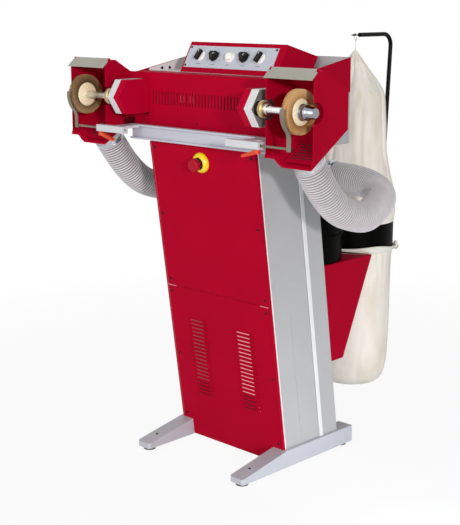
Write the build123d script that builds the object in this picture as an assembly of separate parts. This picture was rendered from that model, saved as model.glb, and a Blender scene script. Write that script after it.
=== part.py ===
from build123d import *
from math import acos, cos, hypot, radians, sin, tan
import os

# A twin-spindle brush polishing machine with its own dust extraction, in millimetres.
# X runs along the spindles, Y from the front to the back and Z up from the floor.
# Every piece is drawn with Y = 0 on the spindle line. As it is written out it moves to the
# part's origin, the bottom centre of the machine's box.

# Clearances and sheet
fit = 0.05  # radial clearance of a shaft or a rod in its hole
gap = 0.3  # clearance between neighbours that don't touch
play = 1.0  # end clearance of pieces that turn
sheet = 3.0  # sheet of the stand, the body and the hoods

# Feet and pads
foot_in = 174.0
foot_w = 54.0
foot_toe_y = 8.0
foot_heel_y = 509.0
foot_top = 62.0
toe_top = 27.0
toe_bevel = 6.0
pad_h = 10.0
pad_r = 19.0
pad_inset = 26.0
anchor_r = 5.5
anchor_inset = 58.0

# Column, which leans forward towards its top
column_half = 212.0
column_y = 196.7
column_lean = 0.143
column_depth = 250.0
column_top = 973.0
bead_back = 173.0
bead_r = 4.0
rear_step = 1.5
seam_back = 83.5
seam_w = 1.2
seam_top = 480.0
panel_drop = 8.0
panel_seam = 514.0
panel_seam_w = 0.8
seam_notch_l = 36.0
seam_notch_h = 3.0
panel_bottom = 12.0
louvre_x = 98.0
louvre_l = 73.0
louvre_h = 5.0
louvre_low = 168.0
louvre_pitch = 12.8
louvre_count = 20

# Emergency stop on the upper panel
stop_drop = 47.0
stop_ring_r = 30.0
stop_ring_h = 17.0
stop_cap_r = 19.5
stop_cap_h = 13.0
stop_neck_r = 13.0
stop_stem_r = 8.0
stop_travel = 5.0

# Body on top of the column
body_half = 300.0
body_front = 88.0
body_rear = 372.0
plinth_h = 40.0
rail_shelf_t = 6.0
rear_cover_t = 8.0
rear_cover_wide_h = 106.0
beam_h = 152.0
beam_skirt = 6.0
side_rise = 52.0
tray_margin = 6.0
vent_count = 35
vent_pitch = 13.0
vent_w = 5.0
vent_rise = 60.0
vent_h = 38.0

# Spindles and their bearings
spindle_rise = 82.0
shaft_r = 10.0
seat_r = 8.0
sleeve_inset = 60.0
sleeve_l = 25.0
sleeve_wall = 2.5
plate_t = 27.0
bearing_r = 21.0
bearing_w = 24.0
nose_y = -31.0
nose_back = 32.0
nose_half = 50.0
pulley_w = 18.0
spindle_pulley_r = 19.0
collar_r = 24.0
collar_l = 15.0
collar_gap = 11.0
collar_side_count = 24
collar_bevel = 2.0
ring_r = 15.0
ring_l = 10.0

# Brushes
brush_in = 107.0
brush_w = 22.0
brush_r = 60.0
core_r = 36.0
core_bevel = 3.0
backing_t = 3.0
bristle_r = 1.5
bristle_row_count = 3
bristle_turn_count = 52
nut_reach = 57.0
nut_washer_r = 22.0
nut_washer_t = 4.0
nut_r = 20.0
nut_l = 20.0
nut_step_r = 18.0
nut_tip_r = 14.5

# Hoods: outline in Y and Z, open to the front
hood_reach = 24.0
hood_w = 165.0
hood_front = -17.0
hood_wall_front = -9.0
hood_lip_h = 34.0
hood_drop = 145.0
hood_brow_rise = 83.0
hood_top_rise = 105.0
hood_top_front = 7.0
hood_top_back = 31.0
hood_back = 128.0
hood_back_rise = 46.0
hood_back_drop = 50.0
hood_step_h = 14.0
hood_step_flat = 34.0
hood_step_end = 66.0
hood_notch_r = 27.0
hood_notch_y = 3.0
hood_arm_y = 95.0
hood_arm_l = 28.0
hood_arm_drop = 33.0
hood_arm_h = 55.0
grille_t = 2.0
grille_lift = 9.0
grille_slot_count = 6
grille_slot_h = 5.0
grille_pitch = 11.0
grille_margin = 10.0
grille_l = 140.0

# Visors over the hoods' brows
visor_t = 2.0
visor_l = 34.0
hinge_r = 2.4
hinge_pin_r = 1.2
hinge_y = 8.5
hinge_lift = 2.8
hinge_lug_w = 6.0

# Guards that slide in clamp blocks on the rail
rail_inset = 17.0
rail_drop = 5.0
rail_h = 44.0
rail_t = 19.4
rail_lip = 6.0
block_inset = 90.5
block_l = 120.5
block_s = 20.0
block_bevel = 1.5
block_y = -34.0
block_rise = 30.0
block_arm_w = 46.0
block_arm_t = 8.0
guard_rod_r = 3.5
guard_rod_l = 180.0
guard_r = 64.0
guard_t = 2.0
guard_w = 15.0
guard_up_deg = 10.0
guard_down_deg = 45.0
guard_bend_r = 30.0
lever_in = 108.5
lever_stud_r = 4.0
lever_hub_r = 9.0
lever_hub_h = 12.0
lever_l = 50.0
lever_w = 12.0
lever_drop = 17.0
lever_tip_h = 8.0

# Console and its controls
console_half = 194.0
console_front = 172.0
console_h = 88.0
console_face_deg = 60.7
console_rear = 355.0
console_rear_h = 51.0
plate_x = -7.0
plate_half = 178.0
plate_low = 16.0
plate_h = 71.0
plate_thick = 2.0
control_pitch = 60.5
control_up = 53.0
control_stub_r = 3.0
selector_r = 14.0
selector_h = 6.0
selector_bar_l = 26.0
selector_bar_w = 8.0
selector_bar_h = 11.0
selector_bevel = 2.0
selector_deg = 55.0
knob_r = 11.0
knob_h = 16.0
knob_side_count = 14
knob_skirt_r = 13.0
knob_skirt_h = 4.0
knob_groove = 1.6
lamp_r = 9.0
lamp_h = 8.0
lamp_ring_r = 12.0
lamp_ring_h = 3.0

# Motors, pulleys and belts inside the body
motor_y = 235.0
motor_rise = 70.0
motor_r = 58.0
motor_in = 86.0
motor_l = 145.0
motor_foot_w = 90.0
motor_foot_inset = 20.0
motor_shaft_r = 7.0
motor_bore_l = 30.0
motor_pulley_r = 16.0
belt_t = 2.0
belt_w = 10.0
belt_slot_rise = 27.0
belt_slot_h = 75.0

# Fan, bracket and bags behind the column
fan_y = 516.0
fan_r = 129.0
fan_low = 569.0
fan_h = 176.0
fan_rim_z = 655.0
fan_rim_r = 132.0
fan_rim_t = 6.0
fan_motor_r = 52.0
fan_motor_h = 76.0
fan_shaft_r = 6.0
fan_bore_l = 25.0
impeller_r = 104.0
impeller_blade_count = 8
impeller_h = 48.0
impeller_hub_r = 17.0
duct_half = 62.0
duct_low = 597.0
duct_h = 47.0
bag_y = 782.0
ring_bag_r = 132.0
ring_low = 568.0
ring_h = 92.0
ring_wall = 1.5
bracket_half = 135.0
bracket_low = 251.0
bracket_top_rear = 710.0
bracket_low_rear = 572.0
bracket_notch_gap = 8.0
bag_r = 133.0
bag_bulge = 3.0
bag_shoulder_r = 128.0
bag_shoulder_z = 762.0
bag_waist_r = 106.0
bag_waist_z = 899.0
bag_brow_r = 98.0
bag_brow_z = 1068.0
bag_neck_r = 59.0
bag_neck_z = 1139.0
bag_tip_r = 5.0
bag_tip_z = 1215.0
bag_lean = 12.0
tie_r = 1.6
sack_low = 87.0
sack_foot_r = 119.0
sack_foot_z = 187.0
sack_round = 45.0
hem_t = 4.5
hem_h = 26.0
rod_r = 7.0
rod_y = 955.0
rod_low = 590.0
rod_top = 1265.0
rod_bend = 40.0
rod_back = 7.0
pin_r = 3.0
pin_l = 42.0
pin_point = 13.0
pin_tip_r = 1.0
lug_half = 15.0
lug_h = 14.0
lug_z = (607.0, 643.0)

# Hoses and what they end on
hose_r = 45.0
hose_wall = 8.0
hose_rib_h = 3.5
hose_rib_count = 30
hose_bore_count = 13
hose_cuff = 30.0
hose_drop = 159.0
hose_run = 165.0
spigot_l = 32.0
spigot_flange_r = 54.0
spigot_flange_t = 4.0
spigot_back = 63.0
manifold_half = 130.0
manifold_z = 846.0
manifold_neck_r = 44.0

# Values that follow from the sizes above
foot_out = foot_in + foot_w
foot_mid = foot_in + foot_w / 2
panel_top = column_top - panel_drop
stop_z = panel_top - stop_drop
beam_low = column_top + plinth_h
beam_top = beam_low + beam_h
rear_cover_wide_top = beam_low + rear_cover_wide_h
side_rear_top = beam_top + side_rise
tray_top = beam_top
vent_low = beam_low + vent_rise
spindle_z = beam_low + spindle_rise
motor_z = beam_low + motor_rise
belt_slot_low = beam_low + belt_slot_rise
rail_low = column_top - rail_drop
block_z = column_top + block_rise
console_top = tray_top + console_h
console_rear_top = tray_top + console_rear_h
sleeve_in = body_half - sleeve_inset
sleeve_out = sleeve_in + sleeve_l
plate_out = sleeve_out + plate_t
collar_x = plate_out + collar_gap
pulley_x = sleeve_in + sleeve_wall + play
hood_in = body_half + hood_reach
hood_low = spindle_z - hood_drop
hood_brow = spindle_z + hood_brow_rise
hood_top = spindle_z + hood_top_rise
hood_back_top = spindle_z + hood_back_rise
hood_back_low = spindle_z - hood_back_drop
hood_arm_z = spindle_z - hood_arm_drop
hood_out = hood_in + hood_w
hood_mid = hood_in + hood_w / 2
brush_x = hood_in + brush_in
nut_end = brush_x + nut_reach
rail_half = body_half - rail_inset
rail_front = column_y - column_lean * (column_top - foot_top) - rail_t
block_in = body_half - block_inset
lever_x = block_in + lever_in
floor_rise = (hood_back_low - hood_low) / (hood_back - hood_front)
floor_run = hypot(1, floor_rise)
floor_dir = Vector(0, 1 / floor_run, floor_rise / floor_run)
floor_down = Vector(0, floor_rise / floor_run, -1 / floor_run)
face_sin = sin(radians(console_face_deg))
face_cos = cos(radians(console_face_deg))
bag_low = ring_low + ring_h + gap
origin_y = (rod_y + lug_half - guard_r - guard_t) / 2


def column_front(z):
    """Y of the column's front at a height."""
    return column_y - column_lean * (z - foot_top)


# The right hose's route, from the hood's spigot to the manifold
hose_start = Vector(hood_mid, hood_front + spigot_back, hood_low + floor_rise * spigot_back)
hose_start = hose_start + floor_down * (spigot_flange_t + spigot_l)
hose_route = [
    hose_start,
    hose_start + floor_down * hose_drop,
    Vector(427, 365, 756),
    Vector(378, 438, 748),
    Vector(manifold_half + hose_run, fan_y, manifold_z),
    Vector(manifold_half, fan_y, manifold_z),
]


def block(x0, x1, y0, y1, z0, z1):
    """Box between two corners."""
    return Pos((x0 + x1) / 2, (y0 + y1) / 2, (z0 + z1) / 2) * Box(x1 - x0, y1 - y0, z1 - z0)


def side_prism(outline, x0, x1):
    """Prism along X of an outline in Y and Z."""
    face = make_face(Polyline(*[(x0, y, z) for y, z in outline], close=True))
    return extrude(face, amount=x1 - x0, dir=(1, 0, 0))


def rod_x(r, x0, x1, y, z):
    """Cylinder along X."""
    return Pos((x0 + x1) / 2, y, z) * Rot(0, 90, 0) * Cylinder(r, x1 - x0)


def rod_z(r, z0, z1, x, y):
    """Cylinder along Z."""
    return Pos(x, y, (z0 + z1) / 2) * Cylinder(r, z1 - z0)


def turned_x(outline, y=0.0, z=spindle_z):
    """Solid turned about a line along X, from (x, radius) points."""
    face = make_face(Polyline(*[(x, 0, r) for x, r in outline], close=True))
    return Pos(0, y, z) * revolve(face, Axis.X)


def turned_z(outline, x, y):
    """Solid turned about a line along Z, from (radius, z) points."""
    face = make_face(Polyline(*[(r, 0, z) for r, z in outline], close=True))
    return Pos(x, y, 0) * revolve(face, Axis.Z)


def on_plane(plane, shape):
    """A shape drawn at the origin, set on a plane with its Z along the plane's normal."""
    return plane.location * shape


def drum(r, h, low=0.0):
    """Cylinder on the local Z axis that starts at a height."""
    return Pos(0, 0, low + h / 2) * Cylinder(r, h)


def mirrored(shape):
    """The left-hand twin of a right-hand shape."""
    return mirror(shape, about=Plane.YZ)


def both_sides(shape):
    """A right-hand shape and its twin as two solids."""
    return group([shape, mirrored(shape)])


def group(shapes):
    """Separate solids that make up one piece or one set of like pieces."""
    return Compound([solid for shape in shapes for solid in shape.solids()])


def leaning_band(front, back, z0, z1):
    """Outline of a band that leans with the column, between two depths behind its front."""
    low, high = column_front(z0), column_front(z1)
    return [(low + front, z0), (low + back, z0), (high + back, z1), (high + front, z1)]


def panel_plane(x, z):
    """Plane on the column's front, with its normal towards the user."""
    return Plane((x, column_front(z), z), x_dir=(1, 0, 0), z_dir=(0, -1, -column_lean))


def console_plane(x, up, out=0.0):
    """Plane on the console's sloping face, at a distance up the face."""
    y = console_front + up * face_cos - out * face_sin
    z = tray_top + up * face_sin + out * face_cos
    return Plane((x, y, z), x_dir=(1, 0, 0), z_dir=(0, -face_sin, face_cos))


def floor_plane(x, back, down=0.0):
    """Plane on the underside of a hood's sloping floor, with its normal downwards."""
    origin = Vector(x, hood_front + back, hood_low + floor_rise * back) + floor_down * down
    return Plane(origin, x_dir=(1, 0, 0), z_dir=floor_down)


def foot():
    """Box-section foot with a sloping toe that is solid round its anchor hole."""
    knee = column_front(foot_top)
    outline = [
        (foot_toe_y, pad_h),
        (foot_toe_y, toe_top),
        (knee, foot_top),
        (foot_heel_y, foot_top),
        (foot_heel_y, pad_h),
    ]
    body = side_prism(outline, foot_in, foot_out)
    body = chamfer(body.edges().filter_by(Axis.Z).group_by(Axis.Y)[0], toe_bevel)
    inner = foot_w / 2 - sheet
    hollow = block(-inner, inner, knee, foot_heel_y - sheet, pad_h + sheet, foot_top - sheet)
    body -= Pos(foot_mid, 0, 0) * hollow
    return body - rod_z(anchor_r, 0, foot_top, foot_mid, foot_toe_y + anchor_inset)


def levelling_pads():
    """Round pad under each toe and heel."""
    places = [foot_toe_y + pad_inset, foot_heel_y - pad_inset]
    return group([rod_z(pad_r, 0, pad_h, side * foot_mid, y) for side in (-1, 1) for y in places])


def column_side():
    """Side sheet with a bead, a raised rear part and a scored seam."""
    outer = column_half + sheet
    plate = side_prism(leaning_band(0, column_depth, foot_top, column_top), column_half, outer)
    rear = side_prism(leaning_band(bead_back, column_depth, foot_top, column_top), outer, outer + rear_step)
    lift = column_top - foot_top
    bead_foot = Vector(outer, column_front(foot_top) + bead_back, foot_top)
    bead_line = Plane(bead_foot, x_dir=(1, 0, 0), z_dir=(0, -column_lean, 1))
    bead = on_plane(bead_line, drum(bead_r, lift * 1.1, -lift * 0.05))
    bead = bead & block(outer, outer + bead_r * 2, 0, body_rear, foot_top, column_top)
    band = leaning_band(seam_back, seam_back + seam_w, foot_top + pad_h, seam_top)
    return plate + rear + bead - side_prism(band, outer - seam_w, outer + seam_w)


def column_rear():
    """Rear sheet between the sides."""
    band = leaning_band(column_depth - sheet, column_depth, foot_top, column_top)
    return side_prism(band, -column_half, column_half)


def upper_front_panel():
    """Plain panel with the hole of the emergency stop."""
    band = leaning_band(0, sheet, panel_seam + panel_seam_w / 2, panel_top)
    panel = side_prism(band, -column_half, column_half)
    return panel - on_plane(panel_plane(0, stop_z), Cylinder(stop_stem_r + gap, sheet * 4))


def lower_front_panel():
    """Panel with two banks of slots and a tongue down between the feet."""
    band = leaning_band(0, sheet, foot_top, panel_seam - panel_seam_w / 2)
    panel = side_prism(band, -column_half, column_half)
    tongue_half = foot_in - gap
    panel += side_prism(leaning_band(0, sheet, panel_bottom, foot_top), -tongue_half, tongue_half)
    slot = Box(louvre_l, sheet * 6, louvre_h)
    slots = []
    for i in range(louvre_count):
        z = louvre_low + i * louvre_pitch
        slots += [Pos(side * louvre_x, column_front(z), z) * slot for side in (-1, 1)]
    top = panel_seam - panel_seam_w / 2
    notch = side_prism(leaning_band(-sheet, sheet * 2, top - seam_notch_h, top + sheet), 0, seam_notch_l)
    return panel - slots - Pos(column_half - seam_notch_l, 0, 0) * notch - Pos(-column_half, 0, 0) * notch


def stop_ring():
    """Ring of the emergency stop, flared towards the panel."""
    bore = stop_stem_r + fit
    outline = [
        (bore, 0),
        (stop_ring_r, 0),
        (stop_ring_r, stop_ring_h * 0.3),
        (stop_ring_r * 0.72, stop_ring_h),
        (bore, stop_ring_h),
    ]
    return on_plane(panel_plane(0, stop_z), turned_z(outline, 0, 0))


def stop_button():
    """Mushroom button on its stem."""
    seat = stop_ring_h + stop_travel + play
    outline = [
        (0, -sheet - gap),
        (stop_stem_r, -sheet - gap),
        (stop_stem_r, seat),
        (stop_neck_r, seat),
        (stop_cap_r, seat + stop_cap_h * 0.35),
        (stop_cap_r, seat + stop_cap_h),
        (stop_cap_r * 0.8, seat + stop_cap_h * 1.35),
        (0, seat + stop_cap_h * 1.5),
    ]
    return on_plane(panel_plane(0, stop_z), turned_z(outline, 0, 0))


def plinth():
    """Closed base of the body, with a shelf in front that carries the guard rail."""
    front = body_front + sheet
    box = block(-body_half, body_half, front, body_rear, column_top, beam_low)
    shelf = column_front(column_top)
    box += block(-rail_half, rail_half, shelf, front, column_top, column_top + rail_shelf_t)
    hollow = block(
        sheet - body_half,
        body_half - sheet,
        front + sheet,
        body_rear - sheet,
        column_top + sheet,
        beam_low - sheet,
    )
    return box - hollow


def body_side():
    """Side sheet of the body, with a top edge that climbs to the rear."""
    front = body_front + sheet
    cover = body_rear - rear_cover_t
    outline = [
        (front, beam_low),
        (cover, beam_low),
        (cover, rear_cover_wide_top),
        (body_rear, rear_cover_wide_top),
        (body_rear, side_rear_top),
        (front, beam_top),
    ]
    return side_prism(outline, body_half - sheet, body_half)


def rear_cover():
    """Rear cover, as wide as the body at the bottom and between its sides above."""
    front = body_rear - rear_cover_t
    inner = body_half - sheet
    cover = block(-body_half, body_half, front, body_rear, beam_low, rear_cover_wide_top)
    return cover + block(-inner, inner, front, body_rear, rear_cover_wide_top, side_rear_top)


def service_tray():
    """Tray in the top of the body, with flanges up the inside of its sides."""
    inner = body_half - sheet
    front = body_front + sheet
    back = body_rear - rear_cover_t
    tray = block(-inner, inner, front, back, tray_top - sheet, tray_top)
    slope = (side_rear_top - beam_top) / (body_rear - front)
    top_back = beam_top + slope * (back - front) - tray_margin
    start = front + (tray_margin + sheet) / slope
    outline = [(start, tray_top), (back, tray_top), (back, top_back), (start, tray_top + sheet)]
    flange = side_prism(outline, inner - sheet, inner)
    return tray + flange + mirrored(flange)


def beam_cover():
    """Front cover with a band of slots and the two passages of the belts."""
    half = hood_in
    low = beam_low - beam_skirt
    cover = block(-half, half, body_front, body_front + sheet, low, beam_top)
    vent = Pos(0, body_front + sheet / 2, vent_low + vent_h / 2) * Box(vent_w, sheet * 4, vent_h)
    first = -vent_pitch * (vent_count - 1) / 2
    cuts = [Pos(first + i * vent_pitch, 0, 0) * vent for i in range(vent_count)]
    slot_x = pulley_x + pulley_w / 2
    half_slot = sleeve_out - slot_x - sleeve_wall / 2
    passage = Box(2 * half_slot, sheet * 4, belt_slot_h)
    middle = (body_front + sheet / 2, belt_slot_low + belt_slot_h / 2)
    cuts += [Pos(side * slot_x, *middle) * passage for side in (-1, 1)]
    return cover - cuts


def nose_outline(inset=0.0):
    """Outline of the bearing housing, a box with a blunt pointed front."""
    half = nose_half - inset
    slope = hypot(nose_back, nose_half) / nose_half
    tip = nose_y + inset * slope
    corner = tip + nose_back * half / nose_half
    return [
        (body_front, spindle_z - half),
        (corner, spindle_z - half),
        (tip, spindle_z),
        (corner, spindle_z + half),
        (body_front, spindle_z + half),
    ]


def bearing_sleeve():
    """Folded sleeve round a spindle's pulley, open to the beam and to the bearing plate."""
    outer = side_prism(nose_outline(), sleeve_in, sleeve_out)
    return outer - side_prism(nose_outline(sleeve_wall), sleeve_in + sleeve_wall, sleeve_out)


def bearing_plate():
    """Thick plate that holds a spindle's two bearings."""
    plate = side_prism(nose_outline(), sleeve_out, plate_out)
    return plate - rod_x(bearing_r, sleeve_out - 1, plate_out + 1, 0, spindle_z)


def spindle_bearing():
    """Double-row bearing in a plate."""
    x0 = sleeve_out + (plate_t - bearing_w) / 2
    bore, rim = shaft_r + fit, bearing_r - fit
    return turned_x([(x0, bore), (x0, rim), (x0 + bearing_w, rim), (x0 + bearing_w, bore)])


def spindle():
    """Shaft with its pulley, a shoulder ring and the thinner seat of the brush."""
    seat = brush_x - brush_w / 2
    ring = collar_x + collar_l
    thread_end = brush_x + brush_w / 2 + nut_l
    outline = [
        (pulley_x, 0),
        (pulley_x, spindle_pulley_r),
        (pulley_x + pulley_w, spindle_pulley_r),
        (pulley_x + pulley_w, shaft_r),
        (ring, shaft_r),
        (ring, ring_r),
        (ring + ring_l, ring_r),
        (ring + ring_l, shaft_r),
        (seat, shaft_r),
        (seat, seat_r),
        (thread_end, seat_r),
        (thread_end, 0),
    ]
    return turned_x(outline)


def lock_collar():
    """Lock collar on the spindle, with grip flats all round."""
    grip = extrude(RegularPolygon(collar_r, collar_side_count), amount=collar_l)
    grip = chamfer(grip.edges().group_by(Axis.Z)[0] + grip.edges().group_by(Axis.Z)[-1], collar_bevel)
    grip -= drum(shaft_r + fit, collar_l)
    return Pos(collar_x, 0, spindle_z) * Rot(0, 90, 0) * grip


def brush_core():
    """Wooden core of the brush with bevelled rims."""
    x0, x1 = brush_x - brush_w / 2, brush_x + brush_w / 2
    bore = seat_r + fit
    outline = [
        (x0, bore),
        (x0, core_r - core_bevel),
        (x0 + core_bevel, core_r),
        (x1 - core_bevel, core_r),
        (x1, core_r - core_bevel),
        (x1, bore),
    ]
    return turned_x(outline)


def bristles():
    """Rows of bristles on a thin backing round the core."""
    x0 = brush_x - brush_w / 2 + core_bevel
    width = brush_w - 2 * core_bevel
    root = core_r + gap
    face = root + backing_t
    rim = extrude(RegularPolygon(face, bristle_turn_count, major_radius=False), amount=width)
    lie_along_x = Pos(x0, 0, spindle_z) * Rot(0, 90, 0) * Rot(0, 0, 180 / bristle_turn_count)
    backing = lie_along_x * (rim - drum(root, width))
    length = brush_r - face + backing_t / 2
    strand = Pos(0, 0, brush_r - length) * extrude(RegularPolygon(bristle_r, 3), amount=length)
    step = (width - 3 * bristle_r) / (bristle_row_count - 1)
    strands = []
    for row in range(bristle_row_count):
        x = x0 + 1.5 * bristle_r + row * step
        for i in range(bristle_turn_count):
            turn = 360 * i / bristle_turn_count
            strands.append(Pos(x, 0, spindle_z) * Rot(turn, 0, 0) * strand)
    return backing.fuse(*strands)


def spindle_nut():
    """Stepped chrome nut that runs out to a blunt tip."""
    x0 = brush_x + brush_w / 2
    body = x0 + nut_washer_t
    thread = x0 + nut_l + gap
    bore = seat_r + fit
    outline = [
        (x0, bore),
        (x0, nut_washer_r),
        (body, nut_washer_r),
        (body, nut_r),
        (x0 + nut_l, nut_r),
        (x0 + nut_l, nut_step_r),
        (nut_end, nut_tip_r),
        (nut_end, 0),
        (thread, 0),
        (thread, bore),
    ]
    return turned_x(outline)


def floor_step(x0, lift):
    """Wedge under a hood's floor that raises one corner of it."""
    plane = Plane((0, hood_front, hood_low), x_dir=(1, 0, 0), z_dir=floor_dir)
    deep = hood_step_h
    points = [
        (x0 - deep, deep),
        (x0 - deep, -deep - lift),
        (x0 + hood_step_flat + lift / 2, -deep - lift),
        (x0 + hood_step_end + lift / 2, -lift),
        (x0 + hood_step_end + lift / 2, deep),
    ]
    length = (hood_back - hood_front) * floor_run
    wedge = extrude(make_face(Polyline(*points, close=True)), amount=3 * length)
    return on_plane(plane, Pos(0, 0, -length) * wedge)


def spindle_notch(r, x0, x1):
    """Notch in a hood's wall from its front edge back past the spindle."""
    notch = rod_x(r, x0, x1, hood_notch_y, spindle_z)
    return notch + block(x0, x1, hood_front - 1, hood_notch_y, spindle_z - r, spindle_z + r)


def hood(x0, arm_side):
    """Folded hood that is open to the front, between x0 and its outer wall.

    arm_side is 1 where the machine's body lies at higher X, and -1 where it lies at lower X.
    """
    x1 = x0 + hood_w
    outline = [
        (hood_front, hood_low),
        (hood_front, hood_brow),
        (hood_top_front, hood_top),
        (hood_top_back, hood_top),
        (hood_back, hood_back_top),
        (hood_back, hood_back_low),
    ]
    shell = side_prism(outline, x0, x1) - floor_step(x0, 0)
    ahead = hood_w / 2
    over = hood_top + ahead
    space = [
        (hood_front - ahead, hood_low - floor_rise * ahead),
        (hood_front - ahead, over),
        (hood_top_front, over),
        (hood_top_front, hood_top),
        (hood_top_back, hood_top),
        (hood_back, hood_back_top),
        (hood_back, hood_back_low),
    ]
    face = make_face(Polyline(*[(x0 + sheet, y, z) for y, z in space], close=True))
    face = offset(face, amount=-sheet, kind=Kind.INTERSECTION)
    shell -= extrude(face, amount=hood_w - 2 * sheet, dir=(1, 0, 0)) - floor_step(x0, sheet)
    for wall in (x0, x1 - sheet):
        shell -= spindle_notch(hood_notch_r, wall - 1, wall + sheet + 1)
    trim = [
        (hood_front - 1, hood_low + sheet),
        (hood_wall_front, hood_low + hood_lip_h),
        (hood_wall_front, over),
        (hood_front - 1, over),
    ]
    shell -= side_prism(trim, x0 - 1, x1 + 1)
    shell -= on_plane(floor_plane((x0 + x1) / 2, spigot_back), Cylinder(hose_r - hose_wall, sheet * 4))
    arm_x = x0 - hood_reach if arm_side < 0 else x1
    arm = block(0, hood_reach, hood_arm_y, hood_arm_y + hood_arm_l, hood_arm_z, hood_arm_z + hood_arm_h)
    return shell + Pos(arm_x, 0, 0) * arm + hood_hinge(x0, x1)


def hood_hinge(x0, x1):
    """Two lugs on a hood's roof and the pin of the visor between them."""
    axis_z = hood_top + hinge_lift
    lug = block(0, hinge_lug_w, hinge_y - hinge_r, hinge_y + hinge_r, hood_top, axis_z + hinge_r)
    pin = rod_x(hinge_pin_r, x0, x1, hinge_y, axis_z)
    return pin + Pos(x0, 0, 0) * lug + Pos(x1 - hinge_lug_w, 0, 0) * lug


def visor(x0):
    """Flap over a hood's brow, on a tube that turns on the hinge pin."""
    x1 = x0 + hood_w
    axis_z = hood_top + hinge_lift
    rise, run = hood_top - hood_brow, hood_top_front - hood_front
    length = hypot(rise, run)
    down = Vector(0, -run / length, -rise / length)
    out = Vector(0, -rise / length, run / length)
    corner = Vector(0, hood_top_front, hood_top)
    inner = hinge_lug_w + gap

    def flap(start, end, x_from, x_to):
        points = [corner + down * s + out * t for s, t in ((start, gap), (end, gap))]
        points += [p + out * visor_t for p in reversed(points)]
        return side_prism([(p.Y, p.Z) for p in points], x_from, x_to)

    plate = flap(hinge_r + hinge_lift, visor_l, x0, x1)
    plate += flap(-hinge_r, visor_l / 2, x0 + inner, x1 - inner)
    plate += rod_x(hinge_r, x0 + inner, x1 - inner, hinge_y, axis_z)
    return plate - rod_x(hinge_pin_r + fit, x0, x1, hinge_y, axis_z)


def suction_grille(x0):
    """Slotted plate above a hood's floor, over the mouth of its spigot."""
    left = x0 + hood_step_end + sheet * 2
    right = x0 + hood_w - sheet - gap
    plane = Plane((0, hood_front, hood_low), x_dir=(1, 0, 0), z_dir=floor_down)
    lift = sheet + grille_lift
    plate = block(left, right, -grille_l - grille_margin, -grille_margin, -lift - grille_t, -lift)
    leg = block(0, grille_t, -grille_l, -grille_margin, -lift, -sheet)
    slot = block(left + grille_margin, right - grille_margin, 0, grille_slot_h, -lift * 2, 0)
    first = -grille_margin * 3
    slots = [Pos(0, first - i * grille_pitch, 0) * slot for i in range(grille_slot_count)]
    grille = plate - slots + Pos(left, 0, 0) * leg + Pos(right - grille_t, 0, 0) * leg
    return on_plane(plane, grille)


def hood_spigot():
    """Flanged pipe under a hood's floor that a hose meets end to end."""
    bore = hose_r - hose_wall
    end = spigot_flange_t + spigot_l
    outline = [
        (bore, 0),
        (spigot_flange_r, 0),
        (spigot_flange_r, spigot_flange_t),
        (hose_r, spigot_flange_t),
        (hose_r, end),
        (bore, end),
    ]
    return on_plane(floor_plane(hood_mid, spigot_back), turned_z(outline, 0, 0))


def hose_path():
    """Straight runs of the hose's route, joined by arcs as large as the runs allow."""
    runs = [b - a for a, b in zip(hose_route, hose_route[1:])]
    radii = []
    for before, after in zip(runs, runs[1:]):
        turn = radians(before.get_angle(after))
        radii.append(0.45 * min(before.length, after.length) / tan(turn / 2))
    print("hose radii", [round(r) for r in radii])
    return FilletPolyline(*hose_route, radius=radii)


def hose():
    """Ribbed hose with plain cuffs: ribs of four circles each, along the route."""
    path = hose_path()
    length = path.length
    valley = hose_r - hose_rib_h
    stations = [(0, hose_r), (hose_cuff, hose_r)]
    pitch = (length - 2 * hose_cuff) / hose_rib_count
    for i in range(hose_rib_count):
        start = hose_cuff + i * pitch
        stations += [(start + pitch * 0.12, valley), (start + pitch * 0.5, valley)]
        stations += [(start + pitch * 0.62, hose_r), (start + pitch, hose_r)]
    stations.append((length, hose_r))
    bore_r = hose_r - hose_wall
    bore = hose_loft(path, [(length * i / hose_bore_count, bore_r) for i in range(hose_bore_count + 1)])
    share = bore.volume / Circle(bore_r).area / length
    print("hose length", round(length, 1), "bore volume share", round(share, 4))
    return hose_loft(path, stations) - bore


def hose_loft(path, stations):
    """Ruled loft through circles square to the path, from (distance, radius) pairs."""
    steady = Vector(0.5, 0.3, 0.8)
    circles = []
    for along, r in stations:
        share = along / path.length
        place = Plane(path @ share, x_dir=steady, z_dir=path % share)
        circles.append(on_plane(place, Circle(r)))
    return loft(circles, ruled=True)


def inlet_manifold():
    """Tee that joins the two hoses and leads down into the fan."""
    lid = fan_low + fan_h
    bore = hose_r - hose_wall
    tee = rod_x(hose_r, -manifold_half, manifold_half, fan_y, manifold_z)
    tee += rod_z(manifold_neck_r, lid, manifold_z, 0, fan_y)
    tee += rod_z(spigot_flange_r, lid, lid + spigot_flange_t, 0, fan_y)
    tee -= rod_x(bore, -manifold_half, manifold_half, fan_y, manifold_z)
    return tee - rod_z(bore, lid, manifold_z, 0, fan_y)


def guard_rail():
    """Bar in front of the column's top, with a lip along both edges."""
    top = rail_low + rail_h
    back = column_front(column_top)
    web = rail_front + rail_t / 2
    outline = [
        (back, rail_low),
        (rail_front, rail_low),
        (rail_front, rail_low + rail_lip),
        (web, rail_low + rail_lip),
        (web, top - rail_lip),
        (rail_front, top - rail_lip),
        (rail_front, top),
        (back, top),
    ]
    return side_prism(outline, -rail_half, rail_half)


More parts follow.
